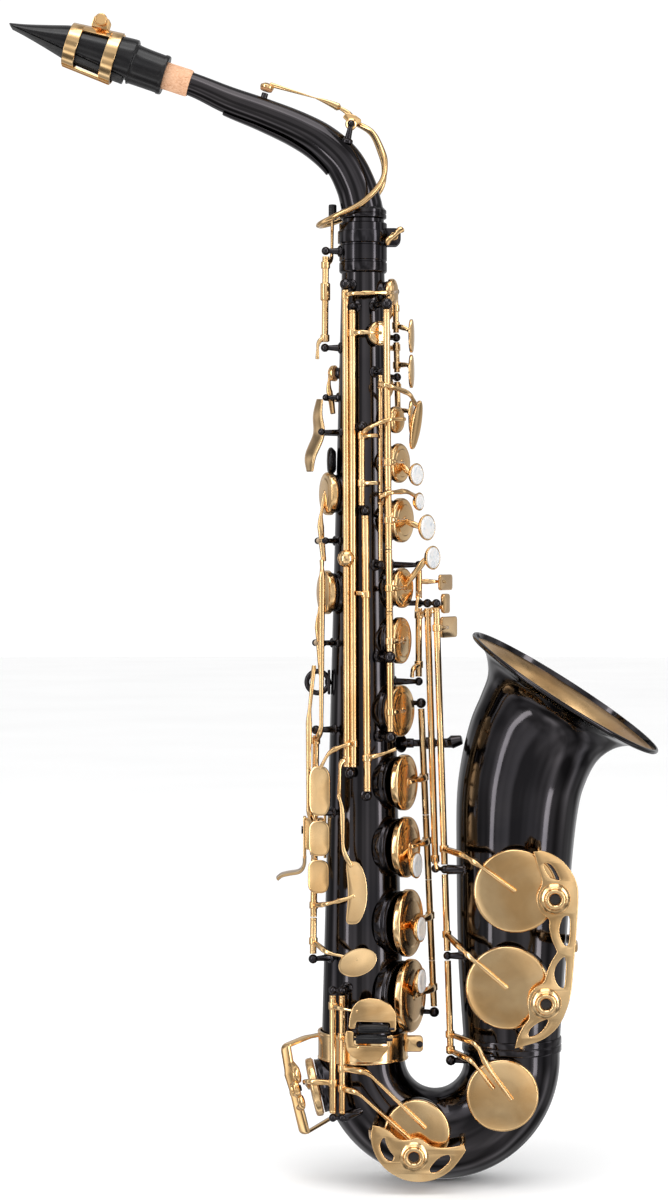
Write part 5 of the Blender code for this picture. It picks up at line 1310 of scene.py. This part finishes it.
# ---- stack keys ----------------------------------------------------------------------
def upper_stack():
    """The left hand's keys, front F, bis, G sharp and the F sharp trill."""
    shapes = [tube(VENT_ROD, 379.6, 420.9, SHORT_ROD_R), cup("c_vent"), hub(VENT_ROD, 418.4, 2.2),
              hub(VENT_ROD, 392, 2.2)]
    shapes.append(arm(VENT_ROD(419.0), (4.0, -26.4, 423.0), (15.0, -29.6, 427.0), (23.6, -19.0, 427.6),
                      over_cup("c_vent")))
    for z in (418.4, 392):
        shapes.append(arm(VENT_ROD(z), (8.0, -23.4, z), radius=1.4))
    key("c_vent_key", (VENT_ROD(380), VENT_ROD(420)), shapes, opened=-7)
    pad_in("c_vent", "c_vent_key")
    shapes = [tube(THIN_ROD, 387.0, 452.4, THIN_ROD_R), hub(THIN_ROD, 447, 1.8)]
    shapes.append(arm(THIN_ROD(447), (8.6, -25.5, 447), (14.0, -29.0, 446), (26.0, -19.5, 442),
                      (29.6, -10.4, 436)))
    shapes.append(plate(oval(8.4, 28), (29.6, -9.8, 425), (0.62, 0.78, 0), (0.16, 0.1, 1), 1.7, corner=0.5,
                        crown=0.4))
    key("front_f_key", (THIN_ROD(387), THIN_ROD(452)), shapes)
    facing = Vector((0.86, -0.51, 0))
    shapes = [tube(THIN_ROD, 348.8, 386.5, THIN_ROD_R), hub(THIN_ROD, 382, 1.8)]
    shapes.append(arm(THIN_ROD(382), (9.0, -26.0, 384.0), (14.0, -30.5, 386.5), (24.0, -22.0, 387.6),
                      (30.6, -10.4, 384.4)))
    shapes.append(pearl_seat((30.6, -9.4, 382.0), facing, 5.2))
    key("bis_key", (THIN_ROD(349), THIN_ROD(386)), shapes)
    pearl("bis_key", (30.6, -9.4, 382.0), facing, 5.2)
    pearls = {"b": ((27.6, -12.0, 397.0), 6.4), "a": ((33.4, -10.0, 367.4), 7.4),
              "g": ((36.4, -8.6, 350.4), 6.8)}
    spans = {"b": (388.0, 488.6), "a": (355.2, 387.6), "g": (320.6, 354.8)}
    for name, (seat, radius) in pearls.items():
        low, high = spans[name]
        z = BODY_HOLES[name][1]
        rod_point = UPPER_ROD(z)
        top = over_cup(name)
        shapes = [tube(UPPER_ROD, low, high), cup(name), hub(UPPER_ROD, z, 2.5), cup_foot(name)]
        shapes.append(arm(rod_point, rod_point.lerp(top, 0.4) + outward(50) * 2.2, top, radius=1.5))
        shapes.append(pearl_seat(seat, facing, radius))
        shapes.append(arm(top - outward(68) * 1.0, Vector(seat) - Vector((2.8, 0, 0)), Vector(seat),
                          radius=1.5))
        key(name + "_key", (UPPER_ROD(low), UPPER_ROD(high)), shapes, opened=-7)
        pearl(name + "_key", seat, facing, radius)
        pad_in(name, name + "_key")
    for name, low, high in (("g_sharp", 298.4, 320.2), ("alt_fs", 253.8, 292.0)):
        z = BODY_HOLES[name][1]
        rod_point = UPPER_ROD(z)
        shapes = [tube(UPPER_ROD, low, high), cup(name), hub(UPPER_ROD, z, 2.5), cup_foot(name)]
        top = over_cup(name)
        shapes.append(arm(rod_point, rod_point.lerp(top, 0.4) + outward(50) * 2.2, top, radius=1.5))
        key(name + "_key", (UPPER_ROD(low), UPPER_ROD(high)), shapes)
        pad_in(name, name + "_key")
    shapes = [tube(TRILL_ROD, 220.6, 373.8, TRILL_ROD_R), hub(TRILL_ROD, 239, 2.7), hub(TRILL_ROD, 330, 2.7)]
    shapes.append(arm(TRILL_ROD(239), (9.0, -30.6, 241), (18.0, -31.0, 244.4)))
    shapes.append(arm(TRILL_ROD(330), (-3.4, -26.4, 331), radius=1.5))
    key("fs_trill_lever", (TRILL_ROD(221), TRILL_ROD(373)), shapes)


def lower_stack():
    """The right hand's F sharp, F, E and D keys."""
    pearls = {"f": (24.1, -26.4, 179.4), "e": (26.4, -25.6, 143.8), "d": (26.2, -28.1, 115.0)}
    for name, low, high in (("fs", 205.0, 265.0), ("f", 168.2, 204.6), ("e", 122.2, 167.8),
                            ("d", 95.8, 121.8)):
        z = BODY_HOLES[name][1]
        top = over_cup(name)
        rod_point = LOWER_ROD(z + 2)
        shapes = [tube(LOWER_ROD, low, high), cup(name), hub(LOWER_ROD, z + 2, 2.6), cup_foot(name, size=2.8)]
        shapes.append(arm(rod_point, rod_point.lerp(top, 0.5) + outward(85) * 2.6, top, radius=1.8))
        facing = outward(BODY_HOLES[name][0])
        if name in pearls:
            seat = Vector(pearls[name])
            shapes.append(pearl_seat(seat + facing * 1.4, facing, 7.4))
            shapes.append(arm(top - facing * 1.1, seat, seat + facing * 0.8, radius=1.7))
        key(name + "_key", (LOWER_ROD(low), LOWER_ROD(high)), shapes, opened=6)
        if name in pearls:
            pearl(name + "_key", seat + facing * 1.4, facing, 7.4)
        pad_in(name, name + "_key")


# ---- little-finger keys --------------------------------------------------------------
def bell_keys():
    """The low B flat, B and C sharp keys, and the left-hand table's levers."""
    def table_plate(low, high, front, back, x=47.0):
        middle = Vector((x, (front + back) / 2, (low + high) / 2))
        wide, tall = (back - front) / 2, (high - low) / 2
        return plate([(-wide, -tall), (wide, -tall), (wide, tall), (-wide, tall)], middle, (0.35, 0.94, 0),
                     UP, 1.7,
                     corner=2.4, crown=0.3)

    shapes = [tube(BELL_ROD, 178.2, 322.0), cup("low_bb"), hub(BELL_ROD, 187, 2.6), hub(BELL_ROD, 311, 2.6)]
    shapes.append(arm(BELL_ROD(187), (58.0, -36.0, 186.0), (66.0, -41.6, 181.6), over_cup("low_bb", 1.2),
                      radius=1.7))
    shapes.append(arm(BELL_ROD(311), (45.4, -2.0, 311), (46.6, 4.0, 311)))
    shapes.append(table_plate(305, 317, 2.0, 24.0))
    key("low_bb_key", (BELL_ROD(178.2), BELL_ROD(322)), shapes, opened=-5)
    pad_in("low_bb", "low_bb_key")
    shapes = [tube(BELL_ROD_2, 178.2, 322.0),
              arm(BELL_ROD_2(181), (40.4, -12.5, 179.4), (41.4, -17.0, 175.6))]
    shapes.append(arm(BELL_ROD_2(319), (42.0, 1.5, 321.5), (46.8, 5.0, 324), radius=1.2))
    shapes += [table_plate(319, 330, 0.0, 11.0), hub(BELL_ROD_2, 181, 2.5), hub(BELL_ROD_2, 319, 2.5)]
    key("low_b_lever", (BELL_ROD_2(178.2), BELL_ROD_2(322)), shapes)
    shapes = [tube(BELL_ROD, 129.8, 172.6), cup("low_b"), hub(BELL_ROD, 139, 2.6)]
    shapes.append(arm(BELL_ROD(139), (56.0, -33.0, 134.0), (62.0, -39.4, 129.4), over_cup("low_b", 1.2),
                      radius=1.7))
    key("low_b_key", (BELL_ROD(129.8), BELL_ROD(172.6)), shapes, opened=-5)
    pad_in("low_b", "low_b_key")
    shapes = [tube(TABLE_ROD, 283.2, 322.0), arm(TABLE_ROD(290), (28.0, -2.6, 288), (27.6, -3.4, 283))]
    shapes.append(arm(TABLE_ROD(318), (38.0, 12.0, 321), (46.8, 17.0, 324), radius=1.2))
    shapes += [table_plate(319, 330, 12.8, 24.0), hub(TABLE_ROD, 290, 2.5), hub(TABLE_ROD, 318, 2.5)]
    key("low_cs_lever", (TABLE_ROD(283), TABLE_ROD(322)), shapes)
    shapes = [tube(TABLE_ROD, 327.6, 343.6), table_plate(332, 341, 2.0, 24.0)]
    shapes.append(arm(TABLE_ROD(337), (40.0, 5.0, 337), (46.8, 8.0, 337)))
    shapes.append(arm(TABLE_ROD(331), (31.0, -4.5, 329), (29.8, -7.0, 320)))
    key("g_sharp_lever", (TABLE_ROD(327.6), TABLE_ROD(343)), shapes)
    shapes = [tube(BELL_ROD, 71.9, 124.2), cup("low_cs"), hub(BELL_ROD, 83, 2.6), hub(BELL_ROD, 74.4, 2.6)]
    top = over_cup("low_cs")
    shapes.append(arm(BELL_ROD(83), (62.5, -36.6, 81.5), (69.0, -36.6, 68.0), top + Vector((5, -1.0, -2)),
                      radius=1.5))
    shapes.append(arm(BELL_ROD(74), (60.0, -36.6, 72.0), top + Vector((-5, -1.0, 4)), radius=1.5))
    key("low_cs_key", (BELL_ROD(71.2), BELL_ROD(124)), shapes)
    pad_in("low_cs", "low_cs_key")


def ribbed_roller(name, centre, axis):
    """A moulded roller with grooves along it."""
    rings = []
    first, second = frame_for(axis)
    for along, scale in ((-8.6, 0.0), (-8.6, 0.8), (-8.1, 1.0), (-7.6, 0.94), (7.6, 0.94), (8.1, 1.0),
                         (8.6, 0.8),
                         (8.6, 0.0)):
        middle = centre + axis * along
        if scale == 0.0:
            rings.append([middle])
            continue
        ring = []
        for i in range(60):
            turn = math.tau * i / 60
            radius = 2.7 * scale - (0.28 if i % 5 in (0, 1) and scale == 0.94 else 0.0)
            ring.append(middle + (first * math.cos(turn) + second * math.sin(turn)) * radius)
        rings.append(ring)
    show(name + "_grip", name, [stack(rings)], "ebonite", [name])


def rounded(outline, radius=1.3):
    """An outline with its corners rounded."""
    return [(point.x, point.y) for point in soften([Vector((*pair, 0)) for pair in outline], radius,
                                                   closed=True)]


def pinky_keys():
    """Low E flat and low C, with their plates and rollers."""
    shapes = [tube(EB_ROD, 41.0, 106.8), cup("low_eb"), hub(EB_ROD, 58, 2.6), hub(EB_ROD, 101, 2.6)]
    top = over_cup("low_eb")
    shapes.append(arm(EB_ROD(58), (-31.5, -22.0, 58), (-32.6, -8, 55), top, radius=1.5))
    shapes.append(arm(EB_ROD(101), (-12.0, -37.0, 101), (-3.0, -41.4, 100)))
    outline = [(-8.4, 90.6), (-7.8, 97.0), (-6.0, 102.8), (-2.6, 106.2), (3.3, 107.5), (9.3, 106.7),
               (14.6, 103.9),
               (17.6, 99.8), (18.0, 95.0), (17.8, 89.0), (14.5, 88.8), (14.4, 93.9), (-4.2, 94.4),
               (-4.3, 90.4)]
    shapes.append(cut_plate([rounded(outline)], (0, -41.0, 0), ALONG_X, UP, 1.9))
    key("low_eb_key", (EB_ROD(41), EB_ROD(106)), shapes)
    pad_in("low_eb", "low_eb_key")
    pins = [turned((-6.4, -40.5, 90.4), ALONG_X, [(0, 0), (0, 0.9), (3.0, 0.9), (3.0, 0)], 16),
            turned((13.6, -41.5, 90.4), ALONG_X, [(0, 0), (0, 0.9), (3.4, 0.9), (3.4, 0)], 16)]
    with_key("low_eb_key", "roller_pins", pins, "black_nickel")
    shapes = [tube(C_ROD, 41.0, 106.8), cup("low_c"), hub(C_ROD, 66, 2.6), hub(C_ROD, 55, 2.6),
              hub(C_ROD, 84, 2.6)]
    top = over_cup("low_c")
    shapes.append(arm(C_ROD(66), (2.6, -35.0, 65.6), top + Vector((5, -1.0, 3)), radius=1.5))
    shapes.append(arm(C_ROD(55), (-3.0, -35.4, 54.6), top + Vector((3, -1.0, -9)), radius=1.5))
    shapes.append(arm(C_ROD(84), (-6.5, -38.0, 81), (-1.0, -41.4, 80)))
    outline = [(-8.9, 89.4), (-4.6, 89.2), (-4.4, 81.5), (14.8, 81.0), (15.0, 87.4), (17.6, 87.2),
               (16.2, 81.6),
               (13.1, 77.4), (10.1, 74.0), (7.1, 72.4), (0.3, 72.6), (-5.0, 74.6), (-8.4, 78.4), (-9.4, 84.4)]
    shapes.append(cut_plate([rounded(outline)], (0, -41.0, 0), ALONG_X, UP, 1.9))
    key("low_c_key", (C_ROD(41), C_ROD(106)), shapes, opened=-4)
    pad_in("low_c", "low_c_key")
    pins = [turned((-6.4, -40.5, 84.8), ALONG_X, [(0, 0), (0, 0.9), (3.0, 0.9), (3.0, 0)], 16),
            turned((13.6, -41.5, 84.8), ALONG_X, [(0, 0), (0, 0.9), (3.4, 0.9), (3.4, 0)], 16)]
    with_key("low_c_key", "roller_pins", pins, "black_nickel")
    swing = Quaternion((0, 0, 1), math.radians(-4)).to_matrix()
    for name, z in (("eb_roller", 90.4), ("c_roller", 84.8)):
        centre = Vector((5.3, -41.2, z))
        axis = ALONG_X
        if name == "c_roller":
            centre = C_ROD(z) + swing @ (centre - C_ROD(z))
            axis = swing @ axis
        ribbed_roller(name, centre, axis)


def palm_keys():
    """The three keys under the left palm."""
    for name, low, high, touch_z in (("palm_d", 429.8, 450.4, 434), ("palm_eb", 455.8, 472.8, 460),
                                     ("palm_f", 478.2, 498.6, 480)):
        theta, z, _ = BODY_HOLES[name]
        top = over_cup(name)
        start = PALM_ROD(min(max(z, low + 3), high - 3))
        middle = around((theta + 118) / 2, 25.5, z)
        shapes = [tube(PALM_ROD, low, high, SHORT_ROD_R), cup(name), arm(start, middle, top),
                  cup_foot(name, size=1.7)]
        shapes += [hub(PALM_ROD, start.z, 2.3), hub(PALM_ROD, low + 4, 2.3)]
        shapes.append(arm(PALM_ROD(low + 4), (25.4, 7.0, touch_z), (26.8, 5.4, touch_z - 2)))
        shapes.append(plate(oval(9.4, 19), (27.4, 5.0, touch_z - 4), (0.25, 1, 0), UP, 1.7, corner=0.5,
                            crown=0.4))
        key(name + "_key", (PALM_ROD(low), PALM_ROD(high)), shapes)
        pad_in(name, name + "_key")


# ---- studio --------------------------------------------------------------------------
EYE = Vector((-16.4, -1650.0, 349.0))
AIM = Vector((-16.4, 0.0, 326.6))
PICTURE_HEIGHT = 678.0
FLOOR_REACH = 9.0


def in_frame(point):
    return (Vector(point) - ORIGIN) * MM


def floor():
    level = CAD_BOX[0].z - 0.0005
    ground = bmesh.new()
    count = 64
    ring = []
    for i in range(count):
        turn = math.tau * i / count
        ring.append(ground.verts.new((FLOOR_REACH * math.cos(turn), FLOOR_REACH * math.sin(turn), level)))
    ground.faces.new(ring)
    mesh = bpy.data.meshes.new("studio_floor")
    ground.to_mesh(mesh)
    ground.free()
    paint = Paint("studio_floor_paper", Roughness=0.9)
    paint.colour(paint.ramp(paint.noise(3.0), (0.3, (0.93, 0.93, 0.93)), (0.7, (0.96, 0.96, 0.96))))
    mesh.materials.append(paint.material)
    made = bpy.data.objects.new("studio_floor", mesh)
    bpy.context.collection.objects.link(made)
    made.visible_glossy = False


def softbox(name, place, size, power, colour=(1, 1, 1)):
    """A rectangular light that faces the middle of the instrument."""
    lamp = bpy.data.lights.new(name, "AREA")
    lamp.shape = "RECTANGLE"
    lamp.size, lamp.size_y = size
    lamp.energy = power
    lamp.color = colour
    made = bpy.data.objects.new(name, lamp)
    made.location = place
    target = in_frame((30, 0, 300))
    made.rotation_euler = (target - Vector(place)).to_track_quat("-Z", "Y").to_euler()
    bpy.context.collection.objects.link(made)


def studio():
    world = bpy.data.worlds.new("studio")
    world.use_nodes = True
    nodes, links = world.node_tree.nodes, world.node_tree.links
    sky = nodes["Background"]
    coordinate = nodes.new("ShaderNodeTexCoord")
    split = nodes.new("ShaderNodeSeparateXYZ")
    band = nodes.new("ShaderNodeValToRGB")
    links.new(coordinate.outputs["Generated"], split.inputs["Vector"])
    lift = nodes.new("ShaderNodeMapRange")
    lift.inputs["From Min"].default_value = -1.0
    links.new(split.outputs["Y"], lift.inputs["Value"])
    links.new(lift.outputs["Result"], band.inputs["Fac"])
    stops = ((0.0, 0.62), (0.08, 0.36), (0.22, 0.9), (0.28, 0.30), (0.42, 0.16), (0.56, 0.75), (0.64, 0.22),
             (1.0, 0.36))
    while len(band.color_ramp.elements) < len(stops):
        band.color_ramp.elements.new(0.5)
    for element, (position, shade) in zip(band.color_ramp.elements, stops):
        element.position = position
        element.color = (shade, shade, shade * 1.01, 1)
    cloud = nodes.new("ShaderNodeTexNoise")
    cloud.inputs["Scale"].default_value = 2.4
    cloud.inputs["Detail"].default_value = 1.0
    links.new(coordinate.outputs["Generated"], cloud.inputs["Vector"])
    uneven = nodes.new("ShaderNodeMapRange")
    for socket, value in (("From Min", 0.36), ("From Max", 0.64), ("To Min", 0.4), ("To Max", 1.45)):
        uneven.inputs[socket].default_value = value
    links.new(cloud.outputs["Fac"], uneven.inputs["Value"])
    mixed = nodes.new("ShaderNodeVectorMath")
    mixed.operation = "SCALE"
    links.new(band.outputs["Color"], mixed.inputs[0])
    links.new(uneven.outputs["Result"], mixed.inputs["Scale"])
    links.new(mixed.outputs["Vector"], sky.inputs["Color"])
    sky.inputs["Strength"].default_value = 1.6
    plain = nodes.new("ShaderNodeBackground")
    plain.inputs["Color"].default_value = (1, 1, 1, 1)
    plain.inputs["Strength"].default_value = 1.08
    choose = nodes.new("ShaderNodeMixShader")
    ray = nodes.new("ShaderNodeLightPath")
    either = nodes.new("ShaderNodeMath")
    either.operation = "MAXIMUM"
    links.new(ray.outputs["Is Camera Ray"], either.inputs[0])
    links.new(ray.outputs["Is Diffuse Ray"], either.inputs[1])
    links.new(either.outputs["Value"], choose.inputs["Fac"])
    links.new(sky.outputs["Background"], choose.inputs[1])
    links.new(plain.outputs["Background"], choose.inputs[2])
    links.new(choose.outputs["Shader"], nodes["World Output"].inputs["Surface"])
    bpy.context.scene.world = world

    softbox("strip_left", (-1.1, -1.0, 0.25), (0.22, 1.7), 6)
    softbox("strip_right", (1.25, -0.8, 0.2), (0.26, 1.7), 7)
    softbox("top_box", (0.1, -0.5, 1.6), (1.2, 1.0), 9)

    camera = bpy.data.objects.new("camera", bpy.data.cameras.new("camera"))
    camera.location = in_frame(EYE)
    camera.rotation_euler = (in_frame(AIM) - in_frame(EYE)).to_track_quat("-Z", "Y").to_euler()
    camera.data.lens = camera.data.sensor_width * (AIM - EYE).length / PICTURE_HEIGHT
    bpy.context.collection.objects.link(camera)
    bpy.context.scene.camera = camera
    bpy.context.scene.view_settings.view_transform = "Standard"


# ---- the whole instrument ------------------------------------------------------------
body()
bow()
bell()
joints_of_the_tubes()
bell_brace()
strap_ring()
thumb_parts()
guards()
neck()
mouthpiece()
ligature()
neck_screw()
octave_keys()
side_keys()
upper_stack()
lower_stack()
bell_keys()
pinky_keys()
palm_keys()
floor()
studio()
